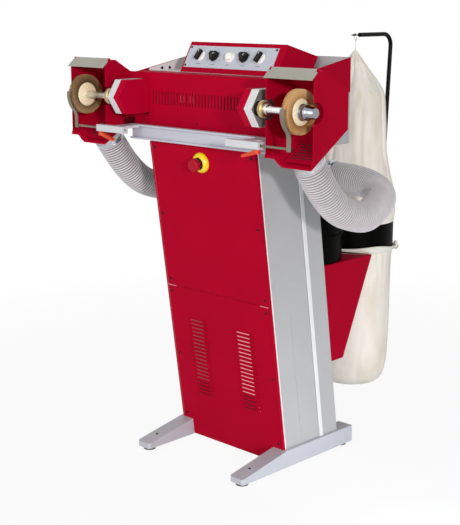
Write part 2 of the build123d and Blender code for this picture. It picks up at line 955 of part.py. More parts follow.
def clamp_block():
    """Square bar with a bore for the guard's rod, an arm to the rail and the lever's stud."""
    half = block_s / 2
    outer = block_in + block_l
    bar = block(block_in, outer, block_y - half, block_y + half, block_z - half, block_z + half)
    bar = chamfer(bar.edges().filter_by(Axis.X), block_bevel)
    arm_x = block_in + block_l / 4
    bar += block(arm_x, arm_x + block_arm_w, block_y + half, rail_front, block_z, block_z + block_arm_t)
    bar -= rod_x(guard_rod_r + fit, block_in - 1, outer + 1, block_y, block_z)
    return bar + rod_z(lever_stud_r, block_z - half - lever_hub_h - play, block_z - half, lever_x, block_y)


def guard():
    """Strip that hugs a brush, bends down and ends on a rod that slides in the clamp block."""
    x0, x1 = brush_x - guard_w / 2, brush_x + guard_w / 2
    up, down = radians(guard_up_deg), radians(guard_down_deg)
    reach = guard_r * 2
    turn_y = -(guard_r + guard_bend_r) * cos(down)
    turn_z = spindle_z - (guard_r + guard_bend_r) * sin(down)
    ring = rod_x(guard_r + guard_t, x0, x1, 0, spindle_z) - rod_x(guard_r, x0 - 1, x1 + 1, 0, spindle_z)
    sector = [
        (0, spindle_z),
        (-reach * cos(up), spindle_z + reach * sin(up)),
        (-reach * cos(down), spindle_z - reach * sin(down)),
    ]
    bend = rod_x(guard_bend_r, x0, x1, turn_y, turn_z)
    bend -= rod_x(guard_bend_r - guard_t, x0 - 1, x1 + 1, turn_y, turn_z)
    corner = [
        (turn_y, turn_z),
        (turn_y + reach, turn_z),
        (turn_y + reach * cos(down), turn_z + reach * sin(down)),
    ]
    back = turn_y + guard_bend_r
    leg = block(x0, x1, back - guard_t, back, block_z - 2 * guard_rod_r, turn_z)
    rod = rod_x(guard_rod_r, x1 - guard_rod_l, x1, block_y, block_z)
    return (ring & side_prism(sector, x0, x1)) + (bend & side_prism(corner, x0, x1)) + leg + rod


def clamp_lever():
    """Drooping lever on the clamp block's stud."""
    top = block_z - block_s / 2 - gap
    hub = rod_z(lever_hub_r, top - lever_hub_h, top, lever_x, block_y)
    outline = [
        (lever_x, top),
        (lever_x, top - lever_hub_h),
        (lever_x - lever_l, top - lever_drop - lever_tip_h),
        (lever_x - lever_l, top - lever_drop),
    ]
    face = make_face(Polyline(*[(x, block_y - lever_w / 2, z) for x, z in outline], close=True))
    arm = extrude(face, amount=lever_w, dir=(0, 1, 0))
    tip = rod_y_cap(lever_x - lever_l, top - lever_drop - lever_tip_h / 2)
    return hub + arm + tip - rod_z(lever_stud_r + fit, 0, spindle_z, lever_x, block_y)


def rod_y_cap(x, z):
    """Round end of a clamp lever."""
    return Pos(x, block_y, z) * Rot(90, 0, 0) * Cylinder(lever_tip_h / 2, lever_w)


def console_box():
    """Closed sheet console whose rear leans like its face."""
    foot_back = console_rear - (console_rear_top - tray_top) * face_cos / face_sin
    outline = [
        (console_front, tray_top),
        (console_front + (console_top - tray_top) * face_cos / face_sin, console_top),
        (console_rear, console_rear_top),
        (foot_back, tray_top),
    ]
    face = make_face(Polyline(*[(-console_half, y, z) for y, z in outline], close=True))
    box = extrude(face, amount=2 * console_half, dir=(1, 0, 0))
    inner = Pos(sheet, 0, 0) * offset(face, amount=-sheet, kind=Kind.INTERSECTION)
    return box - extrude(inner, amount=2 * (console_half - sheet), dir=(1, 0, 0))


def control_plate():
    """Plate on the console's face, with the holes of the controls that turn."""
    slab = Pos(0, 0, plate_thick / 2) * Box(2 * plate_half, plate_h, plate_thick)
    plate = on_plane(console_plane(plate_x, plate_low + plate_h / 2), slab)
    hole = drum(control_stub_r + fit, plate_thick)
    places = [plate_x + i * control_pitch for i in (-2, -1, 1, 2)]
    return plate - [on_plane(console_plane(x, control_up), hole) for x in places]


def control_stub():
    """Stub of a control in its hole in the plate."""
    length = plate_thick - gap
    return drum(control_stub_r, length + gap, -length)


def selector(index):
    """Two-position selector with a bar handle."""
    base = drum(selector_r, selector_h, gap) + control_stub()
    bar = Box(selector_bar_l, selector_bar_w, selector_bar_h)
    bar = Pos(0, 0, gap + selector_h + selector_bar_h / 2) * bar
    bar = chamfer(bar.edges().group_by(Axis.Z)[-1], selector_bevel)
    plane = console_plane(plate_x + index * control_pitch, control_up, plate_thick)
    return on_plane(plane, base + Rot(0, 0, selector_deg) * bar)


def speed_knob(index):
    """Speed knob with grip flats, a skirt and a pointer groove."""
    grip = extrude(RegularPolygon(knob_r, knob_side_count), amount=knob_h, taper=4)
    knob = Pos(0, 0, gap) * grip + drum(knob_skirt_r, knob_skirt_h, gap) + control_stub()
    knob -= Pos(0, knob_r / 2, gap + knob_h) * Box(knob_groove, knob_r, knob_groove)
    plane = console_plane(plate_x + index * control_pitch, control_up, plate_thick)
    return on_plane(plane, knob)


def indicator_lamp():
    """Lamp with a bezel and a domed lens."""
    outline = [
        (0, 0),
        (lamp_ring_r, 0),
        (lamp_ring_r, lamp_ring_h),
        (lamp_r, lamp_ring_h),
        (lamp_r, lamp_ring_h + lamp_h * 0.5),
        (lamp_r * 0.7, lamp_ring_h + lamp_h),
        (0, lamp_ring_h + lamp_h * 1.15),
    ]
    return on_plane(console_plane(plate_x, control_up, plate_thick), turned_z(outline, 0, 0))


def spindle_motor():
    """Motor with a foot on the plinth, bored for its shaft."""
    end = motor_in + motor_l
    outline = [
        (motor_in, 0),
        (motor_in, motor_r),
        (end, motor_r),
        (end, motor_shaft_r + fit),
        (end - motor_bore_l, motor_shaft_r + fit),
        (end - motor_bore_l, 0),
    ]
    motor = turned_x(outline, motor_y, motor_z)
    half = motor_foot_w / 2
    inset = motor_foot_inset
    top = motor_z - motor_r * 0.6
    base = block(motor_in + inset, end - inset, motor_y - half, motor_y + half, beam_low, top)
    return motor + base


def fan_motor():
    """Upright motor on the floor of the fan's drum, bored for the impeller's shaft."""
    floor = fan_low + sheet
    top = floor + fan_motor_h
    bore = fan_shaft_r + fit
    outline = [
        (0, floor),
        (fan_motor_r, floor),
        (fan_motor_r, top),
        (bore, top),
        (bore, top - fan_bore_l),
        (0, top - fan_bore_l),
    ]
    return turned_z(outline, 0, fan_y)


def motor_pulley():
    """Pulley of a motor with the shaft that it turns on."""
    shaft_end = motor_in + motor_l - motor_bore_l + play
    outline = [
        (shaft_end, 0),
        (shaft_end, motor_shaft_r),
        (pulley_x, motor_shaft_r),
        (pulley_x, motor_pulley_r),
        (pulley_x + pulley_w, motor_pulley_r),
        (pulley_x + pulley_w, 0),
    ]
    return turned_x(outline, motor_y, motor_z)


def belt_outline(extra):
    """Closed outline of a belt round both pulleys, at a height above their faces."""
    r0, r1 = spindle_pulley_r + extra, motor_pulley_r + extra
    span = hypot(motor_y, motor_z - spindle_z)
    lean = acos((r0 - r1) / span)
    near, far = Vector(cos(lean), sin(lean)), Vector(cos(lean), -sin(lean))
    centre = Vector(span, 0)
    web = make_face(Polyline(near * r0, centre + near * r1, centre + far * r1, far * r0, close=True))
    return web + Circle(r0) + Pos(span, 0) * Circle(r1)


def drive_belt():
    """Flat belt from a motor's pulley to its spindle's."""
    loop = belt_outline(gap + belt_t) - belt_outline(gap)
    x0 = pulley_x + pulley_w / 2 - belt_w / 2
    along = Vector(0, motor_y, motor_z - spindle_z)
    return on_plane(Plane((x0, 0, spindle_z), x_dir=along, z_dir=(1, 0, 0)), extrude(loop, amount=belt_w))


def support_bracket():
    """Two gussets, a shelf under the fan with a notch for the lower bag, and a rear flange."""
    top_front = column_front(fan_low) + column_depth
    low_front = column_front(bracket_low) + column_depth
    outline = [
        (low_front, bracket_low),
        (top_front, fan_low),
        (bracket_top_rear, fan_low),
        (bracket_low_rear, bracket_low),
    ]
    gusset = side_prism(outline, bracket_half - sheet, bracket_half)
    shelf = block(-bracket_half, bracket_half, top_front + sheet, bracket_top_rear, fan_low - sheet, fan_low)
    notch = rod_z(ring_bag_r + bracket_notch_gap, fan_low - sheet - 1, fan_low + 1, 0, bag_y)
    flange = leaning_band(column_depth, column_depth + sheet, bracket_low, fan_low)
    flange = side_prism(flange, -bracket_half, bracket_half)
    return gusset + mirrored(gusset) + (shelf - notch) + flange


def fan_housing():
    """Drum of the fan with a rim, an inlet in its lid and a duct to the bag ring."""
    top = fan_low + fan_h
    shell = rod_z(fan_r, fan_low, top, 0, fan_y)
    shell += rod_z(fan_rim_r, fan_rim_z - fan_rim_t / 2, fan_rim_z + fan_rim_t / 2, 0, fan_y)
    duct_top = duct_low + duct_h
    shell += block(-duct_half, duct_half, fan_y, bag_y, duct_low, duct_top)
    shell -= rod_z(ring_bag_r + gap, fan_low - 1, top + 1, 0, bag_y)
    shell -= rod_z(fan_r - sheet, fan_low + sheet, top - sheet, 0, fan_y)
    inner = duct_half - sheet
    shell -= block(-inner, inner, fan_y, bag_y, duct_low + sheet, duct_top - sheet)
    return shell - rod_z(hose_r - hose_wall, top - sheet * 2, top + 1, 0, fan_y)


def impeller():
    """Back plate with blades that sweep back, and the shaft down into the fan's motor."""
    motor_top = fan_low + sheet + fan_motor_h
    low = motor_top + play
    outline = [
        (0, motor_top - fan_bore_l + play),
        (fan_shaft_r, motor_top - fan_bore_l + play),
        (fan_shaft_r, low),
        (impeller_r, low),
        (impeller_r, low + sheet),
        (impeller_hub_r, low + sheet),
        (impeller_hub_r * 0.7, low + impeller_h),
        (0, low + impeller_h),
    ]
    wheel = turned_z(outline, 0, fan_y)
    length = impeller_r - impeller_hub_r * 2
    blade = Box(length, sheet, impeller_h - sheet / 2)
    middle = low + impeller_h / 2 + sheet / 4
    for i in range(impeller_blade_count):
        turn = Pos(0, fan_y, middle) * Rot(0, 0, 360 * i / impeller_blade_count)
        wheel += turn * Pos(impeller_r * 0.62, 0, 0) * Rot(0, 0, 28) * blade
    return wheel & rod_z(impeller_r, fan_low, fan_low + fan_h, 0, fan_y)


def bag_ring():
    """Ring between the two bags, with a window to the duct."""
    top = ring_low + ring_h
    ring = rod_z(ring_bag_r, ring_low, top, 0, bag_y)
    ring -= rod_z(ring_bag_r - ring_wall, ring_low - 1, top + 1, 0, bag_y)
    inner = duct_half - sheet
    return ring - block(-inner, inner, fan_y, bag_y, duct_low + sheet, duct_low + duct_h - sheet)


def upper_bag():
    """Filter bag that widens from its tied tip, which hangs ahead of the ring, to the ring."""
    sections = [
        (bag_low, bag_r - bag_bulge),
        (bag_shoulder_z, bag_shoulder_r),
        (bag_waist_z, bag_waist_r),
        (bag_brow_z, bag_brow_r),
        (bag_neck_z, bag_neck_r),
        (bag_tip_z, bag_tip_r),
    ]
    circles = []
    for z, r in sections:
        ahead = bag_lean * (z - bag_low) / (bag_tip_z - bag_low)
        circles.append(Pos(0, bag_y - ahead, z) * Circle(r))
    tie = rod_z(tie_r, bag_tip_z - 1, rod_top - pin_r - gap, 0, bag_y - bag_lean)
    return loft(circles, ruled=True) + tie


def lower_bag():
    """Collecting bag under the ring."""
    top = ring_low - gap
    outline = [
        (0, sack_low),
        (sack_foot_r - sack_round, sack_low),
        (sack_foot_r - sack_round * 0.3, sack_low + sack_round * 0.35),
        (sack_foot_r, sack_foot_z),
        (bag_r - bag_bulge, top - hem_h),
        (bag_r - bag_bulge, top),
        (0, top),
    ]
    return turned_z(outline, 0, bag_y)


def bag_hem():
    """Hem of the lower bag, drawn round the ring."""
    top = ring_low - gap
    neck_r = bag_r - bag_bulge
    hem_in = ring_bag_r + gap
    hem_r = hem_in + hem_t
    outline = [
        (neck_r, top - hem_h),
        (hem_r, top - hem_h * 0.3),
        (hem_r, top + hem_h),
        (hem_in, top + hem_h),
        (hem_in, top),
        (neck_r, top),
    ]
    return turned_z(outline, 0, bag_y)


def hanger_rod():
    """Rod on two lugs behind the ring that reaches forward over the bags, to a pin with a point."""
    tip_y = bag_y + rod_back
    path = FilletPolyline((0, rod_y, rod_low), (0, rod_y, rod_top), (0, tip_y, rod_top), radius=rod_bend)
    rod = sweep(on_plane(Plane((0, rod_y, rod_low), z_dir=(0, 0, 1)), Circle(rod_r)), path)
    outline = [(0, 0), (pin_r, 0), (pin_r, pin_l - pin_point), (pin_tip_r, pin_l), (0, pin_l)]
    rod += on_plane(Plane((0, tip_y, rod_top), z_dir=(0, -1, 0)), turned_z(outline, 0, 0))
    for z in lug_z:
        lug = block(-lug_half, lug_half, bag_y, rod_y + lug_half, z - lug_h / 2, z + lug_h / 2)
        rod += lug - rod_z(ring_bag_r + gap, ring_low, ring_low + ring_h, 0, bag_y)
    return rod


pieces = {
    "feet": both_sides(foot()),
    "levelling_pads": levelling_pads(),
    "column_sides": both_sides(column_side()),
    "column_rear": column_rear(),
    "upper_front_panel": upper_front_panel(),
    "lower_front_panel": lower_front_panel(),
    "stop_ring": stop_ring(),
    "stop_button": stop_button(),
    "plinth": plinth(),
    "body_sides": both_sides(body_side()),
    "rear_cover": rear_cover(),
    "service_tray": service_tray(),
    "beam_cover": beam_cover(),
    "bearing_sleeves": both_sides(bearing_sleeve()),
    "bearing_plates": both_sides(bearing_plate()),
    "spindle_bearings": both_sides(spindle_bearing()),
    "hood_left": hood(-hood_out, 1),
    "hood_right": hood(hood_in, -1),
    "visor_left": visor(-hood_out),
    "visor_right": visor(hood_in),
    "suction_grilles": group([suction_grille(-hood_out), suction_grille(hood_in)]),
    "hood_spigots": both_sides(hood_spigot()),
    "inlet_manifold": inlet_manifold(),
    "guard_rail": guard_rail(),
    "clamp_blocks": both_sides(clamp_block()),
    "console_box": console_box(),
    "control_plate": control_plate(),
    "selector_left": selector(-2),
    "selector_right": selector(2),
    "speed_knob_left": speed_knob(-1),
    "speed_knob_right": speed_knob(1),
    "indicator_lamp": indicator_lamp(),
    "drive_motors": group([both_sides(spindle_motor()), fan_motor()]),
    "drive_belts": both_sides(drive_belt()),
    "support_bracket": support_bracket(),
    "fan_housing": fan_housing(),
    "impeller": impeller(),
    "bag_ring": bag_ring(),
    "upper_bag": upper_bag(),
    "lower_bag": lower_bag(),
    "bag_hem": bag_hem(),
    "hanger_rod": hanger_rod(),
}
twins = {
    "spindle": spindle(),
    "lock_collar": lock_collar(),
    "brush_core": brush_core(),
    "bristles": bristles(),
    "spindle_nut": spindle_nut(),
    "motor_pulley": motor_pulley(),
    "guard": guard(),
    "clamp_lever": clamp_lever(),
    "hose": hose(),
}
for name, shape in twins.items():
    pieces[name + "_right"] = shape
    pieces[name + "_left"] = mirrored(shape)

os.makedirs("parts", exist_ok=True)
for name, shape in pieces.items():
    export_step(Pos(0, -origin_y, 0) * shape, f"parts/{name}.step")
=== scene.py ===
"""Looks of a free-standing brush polishing machine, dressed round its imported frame.

Every piece is in metres in the frame's own axes: X runs along the spindles, Y from the front to
the back and Z up from the floor.
"""

import logging
from collections.abc import Sequence
from dataclasses import dataclass
from enum import Enum
from math import atan2, cos, exp, hypot, pi, radians, sin, tau

import bmesh
import bpy
from mathutils import Matrix, Vector, noise


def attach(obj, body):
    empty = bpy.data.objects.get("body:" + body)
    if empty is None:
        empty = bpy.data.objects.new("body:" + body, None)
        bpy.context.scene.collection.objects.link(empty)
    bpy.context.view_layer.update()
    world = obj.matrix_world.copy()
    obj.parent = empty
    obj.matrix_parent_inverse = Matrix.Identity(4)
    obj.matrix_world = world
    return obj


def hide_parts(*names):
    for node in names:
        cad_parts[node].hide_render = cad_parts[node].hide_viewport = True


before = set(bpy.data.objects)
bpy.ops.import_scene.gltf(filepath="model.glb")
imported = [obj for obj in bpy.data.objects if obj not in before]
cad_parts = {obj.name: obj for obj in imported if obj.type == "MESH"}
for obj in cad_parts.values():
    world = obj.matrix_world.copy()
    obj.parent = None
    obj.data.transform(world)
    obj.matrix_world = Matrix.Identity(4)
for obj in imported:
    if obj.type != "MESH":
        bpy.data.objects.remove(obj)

log = logging.getLogger("polishing_machine")
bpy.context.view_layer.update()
NOISE_SEED = 5

X_AXIS = Vector((1, 0, 0))
Y_AXIS = Vector((0, 1, 0))
Z_AXIS = Vector((0, 0, 1))
WHITE = (1.0, 1.0, 1.0, 1.0)
# Direction along which hardly any two points of a piece are level.
SORT_LINE = Vector((1.0, 1.618034, 2.718282))
# Range that most of a noise falls in.
NOISE_MIDDLE = (0.3, 0.7)
# Length of one band of a wave texture at a scale of 1, in metres.
WAVE_BAND = 0.314
# Largest share of a run that one rounded corner takes.
CORNER_SHARE = 0.45
# Gap between a bore and what fills it, in metres.
BORE_PLAY = 0.00005
# Share of a turn from one crease to the next, which never lines them up.
GOLDEN_TURN = 0.381966

Triple = tuple[float, float, float]
Colour = tuple[float, float, float]
Profile = Sequence[tuple[float, float]]
Frames = list[tuple[float, Matrix]]


class Side(Enum):
    """Side of the machine, with the sign of its X."""

    LEFT = -1
    RIGHT = 1

    @property
    def word(self) -> str:
        """The side's name as the frame's nodes and bodies write it."""
        return self.name.lower()


class Shade(Enum):
    """How a mesh's faces are shaded."""

    SHEET = "flat sheets that meet at eased edges"
    ROUND = "one rounded skin"


def linear(colour: Colour, gain: float = 1.0) -> tuple[float, float, float, float]:
    """Turns a colour as seen into the linear values of a shader socket.

    Args:
        colour: red, green and blue from 0 to 255.
        gain: factor on the linear values.

    Returns:
        The linear colour with full alpha.
    """
    shares = [c / 255 for c in colour]
    values = [s / 12.92 if s <= 0.04045 else ((s + 0.055) / 1.055) ** 2.4 for s in shares]
    return (*[min(1.0, v * gain) for v in values], 1.0)


class Graph:
    """The nodes of a material or of the sky, with the few steps that the finishes share."""

    def __init__(
        self, owner: bpy.types.Material | bpy.types.World, shader: str = "Principled BSDF"
    ) -> None:
        """Opens the owner's nodes.

        Args:
            owner: the material or the sky.
            shader: name of the node that gives its surface or its light.
        """
        owner.use_nodes = True
        self.owner = owner
        self.tree = owner.node_tree
        self.shader = self.tree.nodes[shader]

    def node(self, kind: str, inputs: dict | None = None, **settings: object) -> bpy.types.Node:
        """Adds a node.

        Args:
            kind: the node's type after its ShaderNode prefix.
            inputs: values or sockets for its inputs, by name or number.
            settings: values of the node's own properties.

        Returns:
            The new node.
        """
        made = self.tree.nodes.new("ShaderNode" + kind)
        for key, value in settings.items():
            setattr(made, key, value)
        for key, value in (inputs or {}).items():
            self.feed(made.inputs[key], value)
        return made

    def feed(self, socket: bpy.types.NodeSocket, value: object) -> None:
        """Links a socket to another, or sets its value.

        Args:
            socket: the input that is fed.
            value: an output socket or a plain value.
        """
        if isinstance(value, bpy.types.NodeSocket):
            self.tree.links.new(value, socket)
        else:
            socket.default_value = value

    def dress(self, **inputs: object) -> None:
        """Feeds the shader's inputs, written with underscores for spaces."""
        for key, value in inputs.items():
            self.feed(self.shader.inputs[key.replace("_", " ")], value)

    def place(self, stretch: Triple = (1, 1, 1), source: str = "Object") -> bpy.types.NodeSocket:
        """Coordinates of the piece, stretched along its axes."""
        spot = self.node("TexCoord").outputs[source]
        return self.node("Mapping", {"Vector": spot, "Scale": stretch}).outputs[0]

    def cloud(self, size: float, detail: float = 2.0, stretch: Triple = (1, 1, 1)) -> bpy.types.NodeSocket:
        """Noise of a given grain size in metres, from 0 to 1."""
        inputs = {"Vector": self.place(stretch), "Scale": 1 / size, "Detail": detail}
        return self.node("TexNoise", inputs).outputs[0]

    def spread(self, value: bpy.types.NodeSocket, low: float, high: float) -> bpy.types.NodeSocket:
        """Spreads the middle of a noise over a range.

        Args:
            value: the noise, from 0 to 1.
            low: what its middle part starts at.
            high: what its middle part ends at.

        Returns:
            The spread value, held between low and high.
        """
        start, end = NOISE_MIDDLE
        inputs = {"Value": value, "From Min": start, "From Max": end, "To Min": low, "To Max": high}
        return self.node("MapRange", inputs).outputs[0]

    def tint(self, share: object, dark: object, light: object) -> bpy.types.NodeSocket:
        """Mixes two colours by a share from 0 to 1."""
        return self.node("Mix", {0: share, 6: dark, 7: light}, data_type="RGBA").outputs[2]

    def maths(self, kind: str, a: object, b: object) -> bpy.types.NodeSocket:
        """One step of arithmetic."""
        return self.node("Math", {0: a, 1: b}, operation=kind).outputs[0]

    def relief(
        self, height: bpy.types.NodeSocket, depth: float, over: bpy.types.NodeSocket | None = None
    ) -> bpy.types.NodeSocket:
        """Normal of a surface with a relief.

        Args:
            height: the relief's height, from 0 to 1.
            depth: its full height in metres.
            over: normal of another relief that it is laid over.

        Returns:
            The normal.
        """
        inputs = {"Height": height, "Distance": depth}
        if over:
            inputs["Normal"] = over
        return self.node("Bump", inputs).outputs[0]


@dataclass(frozen=True)
class Finish:
    """A named surface in one main colour, from 0 to 255 as seen."""

    name: str
    colour: Colour
    roughness: float = 0.5
    gloss_drift: float = 0.05

    def material(self) -> bpy.types.Material:
        """The finish's material, made when it is first asked for.

        Returns:
            The material of the finish's name.
        """
        known = bpy.data.materials.get(self.name)
        if known:
            return known
        graph = Graph(bpy.data.materials.new(self.name))
        self.mix(graph)
        return graph.owner

    def gloss(self, graph: Graph, smears: bpy.types.NodeSocket) -> bpy.types.NodeSocket:
        """Roughness that drifts a little with a noise."""
        return graph.spread(smears, self.roughness - self.gloss_drift, self.roughness + self.gloss_drift)

    def mix(self, graph: Graph) -> None:
        """Builds the nodes of the finish."""
        raise NotImplementedError


@dataclass(frozen=True)
class Paint(Finish):
    """Powder coat with a fine orange peel and faint clouds in its colour."""

    grain: float = 0.0022
    depth: float = 0.00003
    drift: float = 0.06
    shine: float = 0.5
    cloud_size: float = 0.16
    smear_size: float = 0.03

    def mix(self, graph: Graph) -> None:
        """Clouds in the colour, uneven gloss and the coat's texture.

        Args:
            graph: the material's nodes.
        """
        clouds = graph.spread(graph.cloud(self.cloud_size, 3.0), 0.0, 1.0)
        shades = linear(self.colour, 1 - self.drift), linear(self.colour, 1 + self.drift)
        graph.dress(
            Base_Color=graph.tint(clouds, *shades),
            Roughness=self.gloss(graph, graph.cloud(self.smear_size, 3.0)),
            Normal=graph.relief(graph.cloud(self.grain, 3.0), self.depth),
            Specular_IOR_Level=self.shine,
        )


@dataclass(frozen=True)
class Metal(Finish):
    """Bare metal whose fine lines run along the stretched axis."""

    gloss_drift: float = 0.06
    lines: Triple = (1.0, 1.0, 1.0)
    grain: float = 0.0012
    depth: float = 0.00002
    smear_size: float = 0.05

    def mix(self, graph: Graph) -> None:
        """Uneven gloss along the lines, with a faint relief.

        Args:
            graph: the material's nodes.
        """
        streak = graph.cloud(self.grain, 4.0, self.lines)
        smear = graph.spread(graph.cloud(self.smear_size), 0.0, 1.0)
        graph.dress(
            Base_Color=graph.tint(smear, linear(self.colour, 0.9), linear(self.colour, 1.06)),
            Metallic=1.0,
            Roughness=self.gloss(graph, streak),
            Normal=graph.relief(streak, self.depth),
        )


@dataclass(frozen=True)
class Plastic(Finish):
    """Moulded plastic with a spark-eroded grain."""

    gloss_drift: float = 0.04
    grain: float = 0.0009
    depth: float = 0.00003
    coat: float = 0.0
    coat_roughness: float = 0.1
    shine: float = 0.5
    tone_size: float = 0.012
    smear_size: float = 0.004

    def mix(self, graph: Graph) -> None:
        """Slight change of tone, fine grain and an even gloss.

        Args:
            graph: the material's nodes.
        """
        tone = graph.spread(graph.cloud(self.tone_size), 0.0, 1.0)
        graph.dress(
            Base_Color=graph.tint(tone, linear(self.colour, 0.93), linear(self.colour, 1.05)),
            Roughness=self.gloss(graph, graph.cloud(self.smear_size)),
            Normal=graph.relief(graph.cloud(self.grain), self.depth),
            Coat_Weight=self.coat,
            Coat_Roughness=self.coat_roughness,
            Specular_IOR_Level=self.shine,
        )


@dataclass(frozen=True)
class RibbedPlastic(Finish):
    """Hose plastic darkened in its grooves as painted shade and dust, by a stored height of 0 in a groove
    to 1 on a rib.
    """

    # Colour in the grooves, painted shade with some dust.
    groove: Colour = (92, 88, 88)
    grain: float = 0.0012
    depth: float = 0.00004
    tone_size: float = 0.03
    smear_size: float = 0.006

    def mix(self, graph: Graph) -> None:
        """Grooves darkened as painted shade and dust, pale ribs and faint smears along the hose.

        Args:
            graph: the material's nodes.
        """
        height = graph.node("Attribute", attribute_name="height").outputs["Fac"]
        tone = graph.spread(graph.cloud(self.tone_size, 3.0), 0.0, 1.0)
        rib = graph.tint(tone, linear(self.colour, 0.92), linear(self.colour, 1.04))
        graph.dress(
            Base_Color=graph.tint(height, linear(self.groove), rib),
            Roughness=self.gloss(graph, graph.cloud(self.smear_size)),
            Normal=graph.relief(graph.cloud(self.grain), self.depth),
        )


@dataclass(frozen=True)
class Cloth(Finish):
    """Plain weave on the piece's own cloth coordinates, creased and a little soiled."""

    soil: Colour = (205, 186, 150)
    thread: float = 0.0011
    depth: float = 0.0001
    rumple: float = 0.0
    thread_bend: float = 0.4
    soil_size: float = 0.09
    rumple_size: float = 0.045
    sheen: float = 0.25

    def mix(self, graph: Graph) -> None:
        """Over-and-under threads, soft soiling in clouds and a faint sheen.

        Args:
            graph: the material's nodes.
        """
        weave = []
        for axis in ("X", "Y"):
            inputs = {"Vector": graph.place(source="UV"), "Scale": WAVE_BAND / self.thread}
            inputs["Distortion"] = self.thread_bend
            weave.append(graph.node("TexWave", inputs, bands_direction=axis).outputs[1])
        cross = graph.maths("MULTIPLY", *weave)
        spots = graph.spread(graph.cloud(self.soil_size, 4.0, (1, 1, 0.45)), -0.3, 0.34)
        stain = graph.node("Attribute", attribute_name="stain").outputs["Fac"]
        soil = graph.maths("MAXIMUM", spots, stain)
        clean = graph.tint(graph.spread(cross, 0.0, 1.0), linear(self.colour, 0.96), linear(self.colour))
        slack = graph.relief(graph.cloud(self.rumple_size, 3.0, (1, 1, 0.6)), self.rumple)
        graph.dress(
            Base_Color=graph.tint(soil, clean, linear(self.soil)),
            Roughness=self.roughness,
            Sheen_Weight=self.sheen,
            Sheen_Roughness=0.5,
            Normal=graph.relief(graph.maths("ADD", *weave), self.depth, slack),
        )


@dataclass(frozen=True)
class Wood(Finish):
    """Pale close-grained wood turned across its rings."""

    gloss_drift: float = 0.08
    vein: Colour = (234, 204, 158)
    ring_scale: float = 30.0
    ring_bend: float = 6.0
    pore_size: float = 0.0016
    pore_depth: float = 0.00012

    def mix(self, graph: Graph) -> None:
        """Bent rings, short pores and a dry surface.

        Args:
            graph: the material's nodes.
        """
        inputs = {"Vector": graph.place((0.3, 1, 1)), "Scale": self.ring_scale, "Detail": 3.0}
        inputs["Distortion"] = self.ring_bend
        rings = graph.node("TexWave", inputs, wave_type="RINGS", rings_direction="X").outputs[1]
        pores = graph.cloud(self.pore_size, 3.0, (0.2, 1, 1))
        share = graph.maths("MULTIPLY", graph.spread(rings, 0.0, 0.5), graph.spread(pores, 0.3, 1.0))
        graph.dress(
            Base_Color=graph.tint(share, linear(self.colour), linear(self.vein)),
            Roughness=self.gloss(graph, pores),
            Normal=graph.relief(pores, self.pore_depth),
        )


@dataclass(frozen=True)
class Hair(Finish):
    """Natural bristle, each strand in a tone of its own from a stored value."""

    root: Colour = (110, 70, 35)
    tip: Colour = (226, 186, 128)
    shine: float = 0.2

    def mix(self, graph: Graph) -> None:
        """Strand tones between the root's and the tip's colour, with a silky sheen.

        Args:
            graph: the material's nodes.
        """
        tone = graph.node("Attribute", attribute_name="tone").outputs["Fac"]
        along = graph.node("Attribute", attribute_name="along").outputs["Fac"]
        strand = graph.tint(tone, linear(self.colour, 0.62), linear(self.tip))
        graph.dress(
            Base_Color=graph.tint(along, linear(self.root), strand),
            Roughness=self.roughness,
            Specular_IOR_Level=self.shine,
        )


@dataclass(frozen=True)
class Lens(Finish):
    """Frosted lamp lens that lets some light through."""

    gloss_drift: float = 0.08
    frost_size: float = 0.0006
    frost_depth: float = 0.00004
    light_depth: float = 0.004

    def mix(self, graph: Graph) -> None:
        """Milky body with fine frosting.

        Args:
            graph: the material's nodes.
        """
        frost = graph.cloud(self.frost_size)
        graph.dress(
            Base_Color=graph.tint(frost, linear(self.colour, 0.95), linear(self.colour)),
            Roughness=self.gloss(graph, frost),
            Subsurface_Weight=0.4,
            Subsurface_Radius=[self.light_depth] * 3,
            Coat_Weight=0.6,
            Coat_Roughness=0.15,
            Normal=graph.relief(frost, self.frost_depth),
        )


RED = Paint("red_powder_coat", (172, 3, 39), 0.5, drift=0.04, shine=0.03)
# The beam's red painted lighter on the bearing sleeves, as painted light.
SLEEVE_LIT_RED = Paint("red_coat_painted_lighter", (181, 4, 45), 0.5, drift=0.04, shine=0.03)
# Painted shade in dark red, seen through the beam's slots.
VENT_SHADE_RED = Paint("painted_shade_liner", (118, 4, 27), 0.5)
# Painted pink highlight: glints behind the beam's vents, the right louvre lips and the edges in the seam's
# notches.
PINK_HIGHLIGHT = Paint("painted_pink_highlight", (232, 142, 150), 0.4)
# Painted dim highlight on the left louvre lips.
DIM_HIGHLIGHT = Paint("painted_dim_highlight", (140, 44, 50), 0.4)
# Painted shade in dark red, on the lowest louvre lips and in the gap below each beam end.
RED_SHADE = Paint("painted_red_shade", (84, 8, 20), 0.5, shine=0.1)
# Painted highlight along the back edge of the front panels' returns.
EDGE_HIGHLIGHT = Paint("painted_edge_highlight", (240, 232, 232), 0.4, drift=0.03)
# Joint strips painted paler than the column as a highlight.
STRIP_HIGHLIGHT = Paint("painted_strip_highlight", (228, 229, 232), 0.44, drift=0.03)
